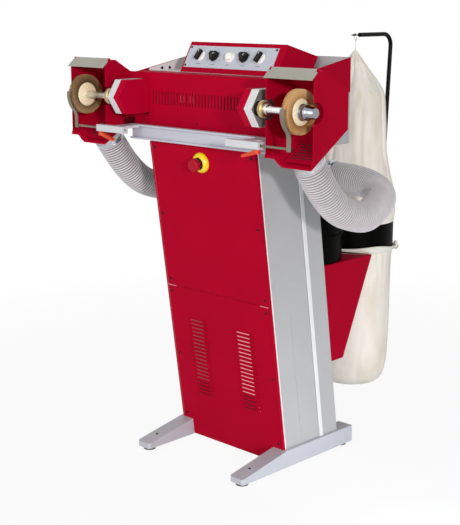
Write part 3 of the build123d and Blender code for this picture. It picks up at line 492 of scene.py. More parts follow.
# Painted shade on the bearing plates' outer faces.
FACE_SHADE = Paint("painted_face_shade", (112, 112, 110), 0.5, drift=0.12)
GREY = Paint("light_grey_powder_coat", (176, 176, 178), 0.48, grain=0.0016, depth=0.00006, drift=0.03)
FOOT_GREY = Paint("foot_powder_coat", (186, 187, 197), 0.44, grain=0.0016, depth=0.00005, drift=0.03)
TRAY_GREY = Paint("tray_powder_coat", (226, 219, 222), 0.48, drift=0.03)
VISOR_GREY = Paint("warm_grey_paint", (166, 162, 152), 0.46, drift=0.05, shine=0.3)
BLACK = Paint("satin_black_paint", (4, 4, 3), 0.42, drift=0.1, shine=0.025)
ROD_BLACK = Paint("gloss_black_rod", (14, 11, 8), 0.3, drift=0.1, shine=0.07)
PLATE = Paint("satin_plate", (193, 197, 208), 0.4, grain=0.003, drift=0.05, shine=0.3)
MARK = Paint("printed_mark", (84, 90, 104), 0.6, drift=0.02)
WHITE_MARK = Paint("white_mark", (238, 238, 234), 0.5, drift=0.02)
RAIL = Paint("anodised_rail", (190, 190, 201), 0.42, grain=0.0012, drift=0.04, shine=0.4)
BLOCK = Paint("pale_block_paint", (202, 202, 207), 0.4, drift=0.05)
HOUSING = Paint("cast_housing_grey", (218, 215, 218), 0.4, drift=0.05)
STEEL = Metal("ground_steel", (222, 222, 220), 0.3)
GUARD_STEEL = Metal("rolled_steel", (130, 122, 108), 0.4, lines=(1, 1, 0.06))
CHROME = Metal("bright_chrome", (150, 152, 158), 0.16, grain=0.002, depth=0.000008)
BRASS = Metal("brass_collar", (188, 166, 124), 0.4, grain=0.001)
CLAMP_STEEL = Metal("zinc_band", (196, 198, 202), 0.32, lines=(1, 1, 0.2))
DARK_STEEL = Metal("blackened_screw", (52, 48, 48), 0.42)
CAST = Metal("cast_alloy", (150, 152, 156), 0.5, grain=0.002, depth=0.00008)
WOOD = Wood("brush_core_wood", (255, 238, 202), 0.62)
HOSE_GREY = RibbedPlastic("hose_plastic", (219, 213, 217), 0.44)
PIPE_GREY = Plastic("pipe_plastic", (198, 198, 200), 0.44)
BLACK_PLASTIC = Plastic("black_knob_plastic", (17, 14, 12), 0.42, shine=0.2)
ORANGE = Plastic("orange_lever_plastic", (212, 68, 34), 0.4, coat=0.1, shine=0.3)
YELLOW = Plastic("yellow_ring_plastic", (248, 214, 22), 0.34, coat=0.2)
STOP_RED = Plastic("red_button_plastic", (168, 6, 34), 0.4, coat=0.1, shine=0.1)
RUBBER = Plastic("grey_rubber", (74, 73, 72), 0.75, depth=0.00008)
# Near-black seal, also put as painted shade under the suction grilles.
SEAL_AND_SHADE = Plastic("bearing_seal", (22, 21, 21), 0.55)
LAMP = Lens("lamp_lens", (252, 246, 238), 0.3)
BAG = Cloth("filter_cloth", (255, 247, 238), 0.85, rumple=0.003)
STRAP = Cloth("strap_webbing", (240, 238, 230), 0.8, soil=(214, 206, 190), thread=0.0016)
DARK_HAIR = Hair("dark_bristle", (176, 138, 96), 0.6, root=(100, 72, 44), tip=(192, 158, 116))
GOLDEN_HAIR = Hair("golden_bristle", (250, 192, 122), 0.6, root=(170, 118, 66), tip=(255, 220, 164))


def axes_at(origin: Vector, forward: Vector, across: Vector) -> Matrix:
    """Frame of axes at a point.

    Args:
        origin: where the axes stand.
        forward: direction of the local Z.
        across: direction near the local X.

    Returns:
        A matrix that turns local points into the machine's axes.
    """
    z = forward.normalized()
    y = z.cross(across).normalized()
    turn = Matrix((y.cross(z), y, z)).transposed()
    return Matrix.Translation(origin) @ turn.to_4x4()


def moved(bm: bmesh.types.BMesh, place: Matrix) -> bmesh.types.BMesh:
    """Moves a whole mesh and gives it back."""
    bmesh.ops.transform(bm, matrix=place, verts=bm.verts)
    return bm


def joined(parts: list[bmesh.types.BMesh]) -> bmesh.types.BMesh:
    """Joins meshes into the first of them.

    Args:
        parts: the meshes, of which all but the first are freed.

    Returns:
        The first mesh with the others in it.
    """
    whole = parts[0]
    for part in parts[1:]:
        spare = bpy.data.meshes.new("spare")
        part.to_mesh(spare)
        part.free()
        whole.from_mesh(spare)
        bpy.data.meshes.remove(spare)
    return whole


def welded(bm: bmesh.types.BMesh, gap: float) -> bmesh.types.BMesh:
    """Joins the points of a mesh that meet and turns its faces outwards.

    Args:
        bm: the mesh.
        gap: points closer than this are joined.

    Returns:
        The same mesh.
    """
    bmesh.ops.remove_doubles(bm, verts=bm.verts, dist=gap)
    bmesh.ops.recalc_face_normals(bm, faces=bm.faces)
    return bm


def settle(bm: bmesh.types.BMesh) -> None:
    """Puts a mesh's points and faces in an order that is the same in each run."""
    bm.verts.sort(key=lambda vert: vert.co.dot(SORT_LINE))
    bm.faces.sort(key=lambda face: face.calc_center_median().dot(SORT_LINE))


def only(kind: type, found: list) -> list:
    """The items of one kind among what an operator made."""
    return [item for item in found if isinstance(item, kind)]


def eased_copy(node: str, width: float, segments: int = 2, sharp_deg: float = 28.0) -> bmesh.types.BMesh:
    """Copies a frame node with its sharp edges eased.

    Args:
        node: name of the node.
        width: how far each edge is cut back, in metres.
        segments: faces across an eased edge.
        sharp_deg: edges that turn by more than this are eased.

    Returns:
        The eased mesh.
    """
    bm = bmesh.new()
    bm.from_mesh(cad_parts[node].data)
    bmesh.ops.remove_doubles(bm, verts=bm.verts, dist=2e-6)
    bmesh.ops.dissolve_limit(bm, angle_limit=radians(0.4), verts=bm.verts, edges=bm.edges)
    sharp = [e for e in bm.edges if e.is_manifold and e.calc_face_angle() > radians(sharp_deg)]
    return eased(bm, sharp, width, segments)


def eased(
    bm: bmesh.types.BMesh, edges: list[bmesh.types.BMEdge], width: float, segments: int = 2
) -> bmesh.types.BMesh:
    """Rounds edges of a mesh.

    Args:
        bm: the mesh.
        edges: the edges that are rounded.
        width: how far each is cut back, in metres.
        segments: faces across a rounded edge.

    Returns:
        The same mesh.
    """
    bmesh.ops.bevel(
        bm,
        geom=edges,
        offset=width,
        offset_type="OFFSET",
        segments=segments,
        profile=0.5,
        affect="EDGES",
        clamp_overlap=True,
        material=-1,
    )
    return bm


def eased_block(size: Triple, width: float, place: Matrix, segments: int = 2) -> bmesh.types.BMesh:
    """Block about its own middle with rounded edges.

    Args:
        size: its sizes along the local axes.
        width: how far each edge is cut back, in metres.
        place: frame of axes that it is set in.
        segments: faces across a rounded edge.

    Returns:
        The block's mesh.
    """
    bm = bmesh.new()
    bmesh.ops.create_cube(bm, size=1.0, matrix=Matrix.Diagonal((*size, 1.0)))
    eased(bm, bm.edges[:], width, segments)
    return moved(bm, place)


def turned(profile: Profile, place: Matrix, steps: int = 64) -> bmesh.types.BMesh:
    """Turns a profile about the local Z.

    Args:
        profile: (radius, height) points in order. A wall that ends on the axis closes there.
        place: frame of axes that the turned piece stands in.
        steps: faces round the axis.

    Returns:
        The turned mesh with its faces outwards.
    """
    bm = bmesh.new()
    points = [bm.verts.new((r, 0, z)) for r, z in profile]
    edges = [bm.edges.new(pair) for pair in zip(points, points[1:])]
    bmesh.ops.spin(
        bm, geom=points + edges, axis=Z_AXIS, cent=(0, 0, 0), angle=tau, steps=steps, use_merge=True
    )
    return moved(welded(bm, 1e-6), place)


def rounded(profile: Profile, radius: float, steps: int = 3) -> Profile:
    """Rounds the inner corners of a profile with short arcs.

    Args:
        profile: (radius, height) points in order.
        radius: most that a corner is cut back along each of its runs.
        steps: points of each arc, less one.

    Returns:
        The profile with an arc in place of each inner corner.
    """
    points = [Vector(p) for p in profile]
    made = [points[0]]
    for before, corner, after in zip(points, points[1:], points[2:]):
        back, ahead = before - corner, after - corner
        cut = min(radius, back.length * CORNER_SHARE, ahead.length * CORNER_SHARE)
        start, end = corner + back.normalized() * cut, corner + ahead.normalized() * cut
        for i in range(steps + 1):
            t = i / steps
            made.append(start * (1 - t) ** 2 + corner * 2 * t * (1 - t) + end * t**2)
    made.append(points[-1])
    return [(p.x, p.y) for p in made]


def ridge(outline: Profile, length: float) -> bmesh.types.BMesh:
    """Prism along the local X, about its middle.

    Args:
        outline: its section, as points in the local Y and Z.
        length: its length along X.

    Returns:
        The prism's mesh.
    """
    bm = bmesh.new()
    face = bm.faces.new([bm.verts.new((-length / 2, y, z)) for y, z in outline])
    made = bmesh.ops.extrude_face_region(bm, geom=[face])["geom"]
    bmesh.ops.translate(bm, vec=(length, 0, 0), verts=only(bmesh.types.BMVert, made))
    bmesh.ops.recalc_face_normals(bm, faces=bm.faces)
    return bm


def screw_head(radius: float, height: float, place: Matrix) -> bmesh.types.BMesh:
    """Round screw head with a socket.

    Args:
        radius: the head's radius.
        height: how far the head stands out.
        place: frame of axes on the sheet that it holds, with Z outwards.

    Returns:
        The head's mesh.
    """
    socket_r, socket_depth, edge = radius * 0.5, height * 0.8, height * 0.5
    bm = turned(rounded([(radius, 0), (radius, height), (socket_r, height)], edge), Matrix(), 24)
    rim = [e for e in bm.edges if e.is_boundary and e.verts[0].co.z > height / 2]
    floor = bmesh.ops.extrude_edge_only(bm, edges=rim)["geom"]
    bmesh.ops.translate(bm, vec=(0, 0, -socket_depth), verts=only(bmesh.types.BMVert, floor))
    bmesh.ops.contextual_create(bm, geom=only(bmesh.types.BMEdge, floor))
    return moved(bm, place)


def cloth_net(around: int, rows: int, girth: float, height: float) -> bmesh.types.BMesh:
    """Flat net of cloth from 0 to 1 both ways, with cloth coordinates in metres.

    Args:
        around: steps along its girth.
        rows: steps along its height.
        girth: length of the cloth round the piece.
        height: length of the cloth across that.

    Returns:
        The net's mesh.
    """
    bm = bmesh.new()
    cloth = bm.loops.layers.uv.new("cloth")
    bmesh.ops.create_grid(bm, x_segments=around, y_segments=rows, size=0.5)
    bmesh.ops.translate(bm, vec=(0.5, 0.5, 0), verts=bm.verts)
    for face in bm.faces:
        for loop in face.loops:
            loop[cloth].uv = (loop.vert.co.x * girth, loop.vert.co.y * height)
    return bm


def smooth_curve(name: str, points: list[Triple], resolution: int) -> bpy.types.Curve:
    """Smooth curve from the first to the last of its control points.

    Args:
        name: what the curve is called.
        points: the control points in order.
        resolution: steps between control points.

    Returns:
        The curve.
    """
    curve = bpy.data.curves.new(name, "CURVE")
    curve.dimensions = "3D"
    curve.resolution_u = resolution
    spline = curve.splines.new("NURBS")
    spline.points.add(len(points) - 1)
    for point, spot in zip(spline.points, points):
        point.co = (*spot, 1.0)
    spline.order_u = 3
    spline.use_endpoint_u = True
    return curve


def between(low: float, high: float, value: float) -> float:
    """Smooth step from 0 at low to 1 at high."""
    t = max(0.0, min(1.0, (value - low) / (high - low)))
    return t * t * (3 - 2 * t)


def bell(off: float, width: float) -> float:
    """Bell curve of 1 in the middle, which falls to about a third at its width."""
    return exp(-((off / width) ** 2))


def turn_gap(angle: float, line: float) -> float:
    """Turn from a line to an angle, from minus half a turn to half a turn."""
    return (angle - line + pi) % tau - pi


def along_points(points: Profile, share: float) -> Vector:
    """Point on a smooth line through (radius, height) points.

    Args:
        points: the points in order.
        share: place on the line from 0 to 1, with equal shares between points.

    Returns:
        The point at that share.
    """
    last = len(points) - 1
    i = min(last - 1, int(share * last))
    t = share * last - i
    p0, p1, p2, p3 = (Vector(points[max(0, min(last, k))]) for k in (i - 1, i, i + 1, i + 2))
    slope1, slope2 = (p2 - p0) / 2, (p3 - p1) / 2
    a, b = 2 * t**3 - 3 * t**2 + 1, t**3 - 2 * t**2 + t
    return p1 * a + slope1 * b + p2 * (1 - a) + slope2 * (t**3 - t**2)


@dataclass(frozen=True)
class Piece:
    """What a finished mesh is called, wears and rides on."""

    name: str
    finish: Finish
    body: str = "machine"
    stands_for: tuple[str, ...] = ()
    shade: Shade = Shade.SHEET
    smooth_deg: float = 40.0

    def make(self, bm: bmesh.types.BMesh) -> bpy.types.Object:
        """Turns a mesh into a piece of the machine.

        Args:
            bm: the shaped mesh, which is freed.

        Returns:
            The piece, riding on its body.
        """
        settle(bm)
        mesh = bpy.data.meshes.new(self.name)
        bm.to_mesh(mesh)
        bm.free()
        for left in [a.name for a in mesh.attributes if a.name == "custom_normal"]:
            mesh.attributes.remove(mesh.attributes[left])
        mesh.materials.clear()
        mesh.materials.append(self.finish.material())
        mesh.polygons.foreach_set("material_index", [0] * len(mesh.polygons))
        mesh.shade_smooth()
        mesh.set_sharp_from_angle(angle=radians(self.smooth_deg))
        piece = bpy.data.objects.new(self.name, mesh)
        bpy.context.scene.collection.objects.link(piece)
        if self.shade is Shade.SHEET:
            even = piece.modifiers.new("even_normals", "WEIGHTED_NORMAL")
            even.keep_sharp = True
        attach(piece, self.body)
        if self.stands_for:
            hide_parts(*self.stands_for)
        log.info("%s on %s: %d faces", self.name, self.body, len(mesh.polygons))
        return piece


def coat(finish: Finish, *nodes: str) -> None:
    """Gives frame nodes that keep their shape a finish.

    Args:
        finish: what they wear.
        nodes: names of the nodes.
    """
    for node in nodes:
        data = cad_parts[node].data
        data.materials.clear()
        data.materials.append(finish.material())
        log.info("%s keeps its shape in %s", node, finish.name)


def dress_nodes(rows: tuple[tuple[str, str, Finish, float], ...]) -> None:
    """Dresses fixed frame nodes that only need eased edges.

    Args:
        rows: for each, the node, the name of its piece, its finish and the width of its eased edges.
    """
    for node, name, finish, width in rows:
        Piece(name, finish, stands_for=(node,)).make(eased_copy(node, width))


def dark_screws(name: str, radius: float, height: float, places: list[Matrix]) -> None:
    """Row of dark screw heads as one piece."""
    Piece(name, DARK_STEEL).make(joined([screw_head(radius, height, place) for place in places]))


@dataclass(frozen=True)
class Lamp:
    """Soft square lamp that looks at the machine's axis, at the height that it aims for."""

    name: str
    place: Triple
    size: float
    power: float
    tint: Colour
    aim: float = 0.8

    def build(self) -> None:
        """Hangs the lamp, out of the camera's sight."""
        data = bpy.data.lights.new(self.name, "AREA")
        data.shape = "SQUARE"
        data.size = self.size
        data.energy = self.power
        data.color = self.tint
        lamp = bpy.data.objects.new(self.name, data)
        lamp.location = self.place
        ahead = Vector((0, 0, self.aim)) - Vector(self.place)
        lamp.rotation_euler = ahead.to_track_quat("-Z", "Y").to_euler()
        lamp.visible_camera = False
        bpy.context.scene.collection.objects.link(lamp)


@dataclass
class Studio:
    """Pale floor, soft lamps and the camera."""

    eye: Triple = (2.3848, -2.7010, 1.3680)
    azimuth_deg: float = 44.364
    pitch_deg: float = 12.617
    lens_mm: float = 79.72
    sensor_mm: float = 36.0
    sight: float = 200.0
    sky: float = 0.31
    sky_tint: Colour = (0.93, 1.0, 0.965)
    floor_half: float = 30.0
    floor_tone: float = 0.75
    floor_roughness: float = 0.9
    clear_share: float = 0.92
    clear_from: float = 1.1
    clear_to: float = 2.6
    lamps: tuple[Lamp, ...] = (
        Lamp("key_lamp", (10.3, -6.3, 3.05), 1.0, 670.0, (1.0, 0.965, 0.96)),
        Lamp("fill_lamp", (0.3, -4.0, 1.8), 3.0, 72.0, (1.0, 0.99, 0.99)),
        Lamp("low_lamp", (0.85, -0.35, 0.06), 0.3, 2.6, (0.90, 0.95, 1.0), 0.0),
    )

    def build(self) -> None:
        """Sets the stage."""
        self.camera()
        self.world()
        self.floor()
        for lamp in self.lamps:
            lamp.build()
        bpy.context.scene.view_settings.view_transform = "Standard"

    def camera(self) -> None:
        """Camera at the photograph's place and angle."""
        data = bpy.data.cameras.new("camera")
        data.sensor_width = self.sensor_mm
        data.lens = self.lens_mm
        data.clip_end = self.sight
        eye = bpy.data.objects.new("camera", data)
        a, e = radians(self.azimuth_deg), radians(self.pitch_deg)
        ahead = Vector((-sin(a) * cos(e), cos(a) * cos(e), -sin(e)))
        eye.location = self.eye
        eye.rotation_euler = ahead.to_track_quat("-Z", "Y").to_euler()
        bpy.context.scene.collection.objects.link(eye)
        bpy.context.scene.camera = eye

    def world(self) -> None:
        """Even sky that looks white where it is seen or mirrored."""
        world = bpy.data.worlds.new("studio_sky")
        bpy.context.scene.world = world
        graph = Graph(world, "Background")
        seen = self.looked_at(graph)
        level = graph.node("MapRange", {"Value": seen, "To Min": self.sky, "To Max": 1.0})
        graph.dress(Color=graph.tint(seen, (*self.sky_tint, 1.0), WHITE), Strength=level.outputs[0])

    def looked_at(self, graph: Graph) -> bpy.types.NodeSocket:
        """Tells where a surface is looked at.

        Args:
            graph: the nodes that it joins.

        Returns:
            1 where a surface is seen straight, mirrored or through glass, and 0 elsewhere.
        """
        path = graph.node("LightPath").outputs
        seen = path["Is Camera Ray"]
        for kind in ("Is Glossy Ray", "Is Transmission Ray"):
            seen = graph.maths("MAXIMUM", seen, path[kind])
        return seen

    def floor(self) -> None:
        """Plain floor that fades into the white round it."""
        bm = bmesh.new()
        bmesh.ops.create_grid(bm, x_segments=1, y_segments=1, size=self.floor_half)
        mesh = bpy.data.meshes.new("studio_floor")
        bm.to_mesh(mesh)
        bm.free()
        floor = bpy.data.objects.new("studio_floor", mesh)
        bpy.context.scene.collection.objects.link(floor)
        graph = Graph(bpy.data.materials.new("studio_floor"))
        graph.dress(Base_Color=(*[self.floor_tone] * 3, 1.0), Roughness=self.floor_roughness)
        away = graph.node("VectorMath", {0: graph.place()}, operation="LENGTH").outputs["Value"]
        limits = {"Value": away, "From Min": self.clear_from, "From Max": self.clear_to}
        limits["To Min"] = self.clear_share
        fade = graph.node("MapRange", limits, interpolation_type="SMOOTHSTEP").outputs[0]
        share = graph.maths("MULTIPLY", fade, self.looked_at(graph))
        glow = graph.node("Emission", {"Color": WHITE, "Strength": 1.0}).outputs[0]
        both = graph.node("MixShader", {0: share, 1: graph.shader.outputs[0], 2: glow})
        graph.feed(graph.tree.nodes["Material Output"].inputs[0], both.outputs[0])
        mesh.materials.append(graph.owner)


@dataclass
class Stand:
    """Feet, column and its two front panels."""

    lean: float = 0.143
    foot_top: float = 0.062
    front_at_foot: float = -0.2553
    half: float = 0.212
    side_x: float = 0.215
    top: float = 0.962
    screw_x: float = 0.198
    screw_heights: tuple[float, ...] = (0.947, 0.743, 0.533, 0.494, 0.286, 0.079)
    screw_r: float = 0.0037
    screw_h: float = 0.0022
    slot_x: float = 0.098
    slot_l: float = 0.073
    slot_low: float = 0.168
    slot_pitch: float = 0.0128
    slot_count: int = 20
    lip_out: float = 0.0034
    lip_h: float = 0.0046
    lip_over: float = 0.004
    lip_shares: Profile = (
        (1, 0),
        (0.86, 0.5),
        (0.45, 0.9),
        (0, 1),
        (0, 0.8),
        (0.4, 0.66),
        (0.68, 0.3),
        (0.72, 0),
    )
    # Ridges of painted light on the louvre lips: painted shade on the lowest, painted highlight above.
    lip_light_l: float = 0.050
    lit_lip_from: int = 4
    lip_light_outline: Profile = (
        (0.0030, 0.0029),
        (0.0018, 0.0036),
        (0.0004, 0.0038),
        (0.0004, 0.0032),
        (0.0026, 0.0025),
    )
    seam_z: float = 0.5121
    tick_l: float = 0.036
    tick_gap: float = 0.001
    tick_h: float = 0.0022
    tick_t: float = 0.002
    tick_in: float = 0.0008
    tick_ease: float = 0.0006
    rim_out: float = 0.0014
    rim_w: float = 0.0012
    rim_t: float = 0.0044
    rim_in: float = 0.0002
    return_w: float = 0.0085
    return_t: float = 0.0012
    edge_w: float = 0.0045
    edge_t: float = 0.0015
    sheet_gap: float = 0.0001
    strip_back: float = 0.1655
    strip_w: float = 0.0155
    strip_x: float = 0.2165
    strip_t: float = 0.003
    toe_y: float = -0.444
    toe_top: float = 0.027
    bolt_x: float = 0.201
    bolt_in: float = 0.058
    bolt_r: float = 0.0034
    bolt_h: float = 0.003
    washer_r: float = 0.0082
    washer_t: float = 0.0007
    washer_lap: float = 0.0002
    washer_ease: float = 0.0003

    def build(self) -> None:
        """Dresses the stand."""
        Piece("foot_shells", FOOT_GREY, stands_for=("feet",)).make(eased_copy("feet", 0.0022, 3))
        dress_nodes(
            (
                ("levelling_pads", "foot_pads", RUBBER, 0.002),
                ("column_sides", "column_side_sheets", GREY, 0.0007),
                ("column_rear", "column_back_sheet", GREY, 0.0008),
                ("upper_front_panel", "upper_panel", RED, 0.0007),
                ("lower_front_panel", "lower_panel", RED, 0.0007),
            )
        )
        self.louvre_lips()
        self.screws()
        self.seam_highlights()
        self.foot_bolts()
        self.side_trim()

    def panel(self, x: float, z: float, out: float = 0.0) -> Matrix:
        """Axes on the column's front, with Z outwards and Y up the panel.

        Args:
            x: place across the column.
            z: height above the floor.
            out: distance out from the panel.

        Returns:
            The frame of axes.
        """
        y = self.front_at_foot - self.lean * (z - self.foot_top)
        outwards = Vector((0, -1, -self.lean)).normalized()
        return axes_at(Vector((x, y, z)) + outwards * out, outwards, X_AXIS)

    def slots(self, sides: list[Side], first: int, end: int) -> list[Matrix]:
        """Axes at some slots of the lower panel.

        Args:
            sides: sides of the panel that are wanted.
            first: number of the lowest slot.
            end: number after the highest slot.

        Returns:
            The frames of axes, slot by slot from below.
        """
        heights = [self.slot_low + i * self.slot_pitch for i in range(first, end)]
        return [self.panel(side.value * self.slot_x, z) for z in heights for side in sides]

    def band(self, start: float, width: float) -> Profile:
        """Outline in Y and Z of a band that leans with the column.

        Args:
            start: distance back from the column's front.
            width: width of the band.

        Returns:
            The outline's corners.
        """
        outline = []
        for z, ends in ((self.foot_top, (0, 1)), (self.top, (1, 0))):
            front = self.front_at_foot - self.lean * (z - self.foot_top)
            outline += [(front + start + width * end, z) for end in ends]
        return outline

    def trim(self, name: str, finish: Finish, outline: Profile, x: float, thick: float) -> None:
        """Flat strip with eased edges on both sides of the column.

        Args:
            name: what the piece is called.
            finish: what it wears.
            outline: the strip's corners in Y and Z.
            x: distance of its inner face from the column's middle.
            thick: its thickness.
        """
        strips = []
        for side in Side:
            place = Matrix.Translation((side.value * (x + thick / 2), 0, 0))
            strip = moved(ridge(outline, thick), place)
            strips.append(eased(strip, strip.edges[:], thick * 0.3))
        Piece(name, finish).make(joined(strips))

    def side_trim(self) -> None:
        """Panel returns with a painted highlight behind them, and joint strips painted pale as a highlight.
        """
        on_side = self.side_x + self.sheet_gap
        rim = self.band(-self.rim_out, self.rim_w)
        self.trim("panel_rims", RED, rim, self.half - self.rim_in, self.rim_t)
        fold = self.band(-self.rim_out, self.return_w + self.rim_out)
        self.trim("panel_returns", RED, fold, on_side, self.return_t)
        edge = self.band(self.return_w, self.edge_w)
        self.trim("return_edge_highlights", EDGE_HIGHLIGHT, edge, on_side, self.edge_t)
        strip = self.band(self.strip_back, self.strip_w)
        self.trim("joint_strip_highlights", STRIP_HIGHLIGHT, strip, self.strip_x, self.strip_t)

    def foot_bolts(self) -> None:
        """Small dark bolt with a painted washer in each foot's sloping top."""
        slope = (self.foot_top - self.toe_top) / (self.front_at_foot - self.toe_y)
        outwards = Vector((0, -slope, 1)).normalized()
        y, z = self.toe_y + self.bolt_in, self.toe_top + slope * self.bolt_in
        places = [axes_at(Vector((side.value * self.bolt_x, y, z)), outwards, X_AXIS) for side in Side]
        dark_screws("foot_bolts", self.bolt_r, self.bolt_h, places)
        bore = self.bolt_r - self.washer_lap
        ring = [(bore, 0), (self.washer_r, 0), (self.washer_r, self.washer_t), (bore, self.washer_t)]
        washers = [turned(rounded(ring, self.washer_ease), place, 40) for place in places]
        Piece("foot_washers", FOOT_GREY, shade=Shade.ROUND).make(joined(washers))

    def louvre_lips(self) -> None:
        """Pressed lip over each slot of the lower panel, with a ridge of painted highlight on the upper
        lips and of painted shade on the lowest.
        """
        outline = [(self.lip_h * up, self.lip_out * out) for up, out in self.lip_shares]
        length, places = self.slot_l + self.lip_over, self.slots(list(Side), 0, self.slot_count)
        lips = [moved(ridge(outline, length), place) for place in places]
        Piece("louvre_lips", RED, smooth_deg=50).make(joined(lips))
        # The lowest lips carry painted shade; the others a painted highlight, dim on the left and bright on
        # the right.
        self.lip_light("low_worn_lips", RED_SHADE, self.slots(list(Side), 0, self.lit_lip_from))
        for side, finish in ((Side.LEFT, DIM_HIGHLIGHT), (Side.RIGHT, PINK_HIGHLIGHT)):
            high = self.slots([side], self.lit_lip_from, self.slot_count)
            self.lip_light(f"{side.word}_worn_lips", finish, high)

    def lip_light(self, name: str, finish: Finish, places: list[Matrix]) -> None:
        """Ridge of painted light along the lips of some slots."""
        edges = [moved(ridge(self.lip_light_outline, self.lip_light_l), place) for place in places]
        Piece(name, finish).make(joined(edges))

    def screws(self) -> None:
        """Dark screws down both edges of the panels."""
        places = [self.panel(s.value * self.screw_x, z) for s in Side for z in self.screw_heights]
        dark_screws("panel_screws", self.screw_r, self.screw_h, places)

    def seam_highlights(self) -> None:
        """Painted highlight on the edge in the notch at each end of the panels' seam."""
        middle = self.half - self.tick_l / 2
        size = (self.tick_l - self.tick_gap, self.tick_h, self.tick_t)
        places = [self.panel(side.value * middle, self.seam_z, -self.tick_in) for side in Side]
        ticks = [eased_block(size, self.tick_ease, place) for place in places]
        Piece("seam_highlights", PINK_HIGHLIGHT).make(joined(ticks))


@dataclass
class EmergencyStop:
    """Yellow ring and red mushroom button on the upper panel."""

    z: float = 0.918
    ring_r: float = 0.030
    ring_h: float = 0.017
    ring_round: float = 0.003
    rim_share: float = 0.78
    well_share: float = 0.6
    wall_in: float = 0.001
    collar_in: float = 0.0008
    stem_r: float = 0.008
    stem_play: float = 0.0003
    stem_in: float = 0.003
    cap_r: float = 0.0195
    cap_h: float = 0.013
    cap_round: float = 0.004
    travel: float = 0.006

    def build(self, stand: Stand) -> None:
        """Dresses the stop.

        Args:
            stand: the stand whose upper panel carries it.
        """
        place = stand.panel(0, self.z)
        self.ring(place)
        self.button(place)

    def ring(self, place: Matrix) -> None:
        """Yellow ring with a dark collar in its well.

        Args:
            place: axes on the panel, with Z outwards.
        """
        bore, h = self.stem_r + self.stem_play, self.ring_h
        well = self.ring_r * self.well_share
        wall, lining = well - self.wall_in, well - self.collar_in
        floor = [(bore, 0), (bore, h * 0.72), (lining, h * 0.62), (lining, 0)]
        Piece("stop_collar", SEAL_AND_SHADE, shade=Shade.ROUND).make(turned(floor, place, 48))
        ring = [
            (wall, 0),
            (self.ring_r, 0),
            (self.ring_r, h * 0.45),
            (self.ring_r * self.rim_share, h),
            (well, h),
            (wall, h * 0.6),
            (wall, 0),
        ]
        shell = turned(rounded(ring, self.ring_round, 4), place, 72)
        Piece("stop_ring_shell", YELLOW, stands_for=("stop_ring",), shade=Shade.ROUND).make(shell)

    def button(self, place: Matrix) -> None:
        """Mushroom button, with its way down left free.

        Args:
            place: axes on the panel, with Z outwards.
        """
        seat, r, h = self.ring_h + self.travel, self.cap_r, self.cap_h
        cap = [
            (self.stem_r, -self.stem_in),
            (self.stem_r, seat),
            (r * 0.7, seat),
            (r, seat + h * 0.35),
            (r, seat + h),
            (r * 0.8, seat + h * 1.35),
            (0, seat + h * 1.5),
        ]
        button = turned(rounded(cap, self.cap_round, 5), place, 72)
        Piece("stop_mushroom", STOP_RED, "stop_button", ("stop_button",), Shade.ROUND).make(button)


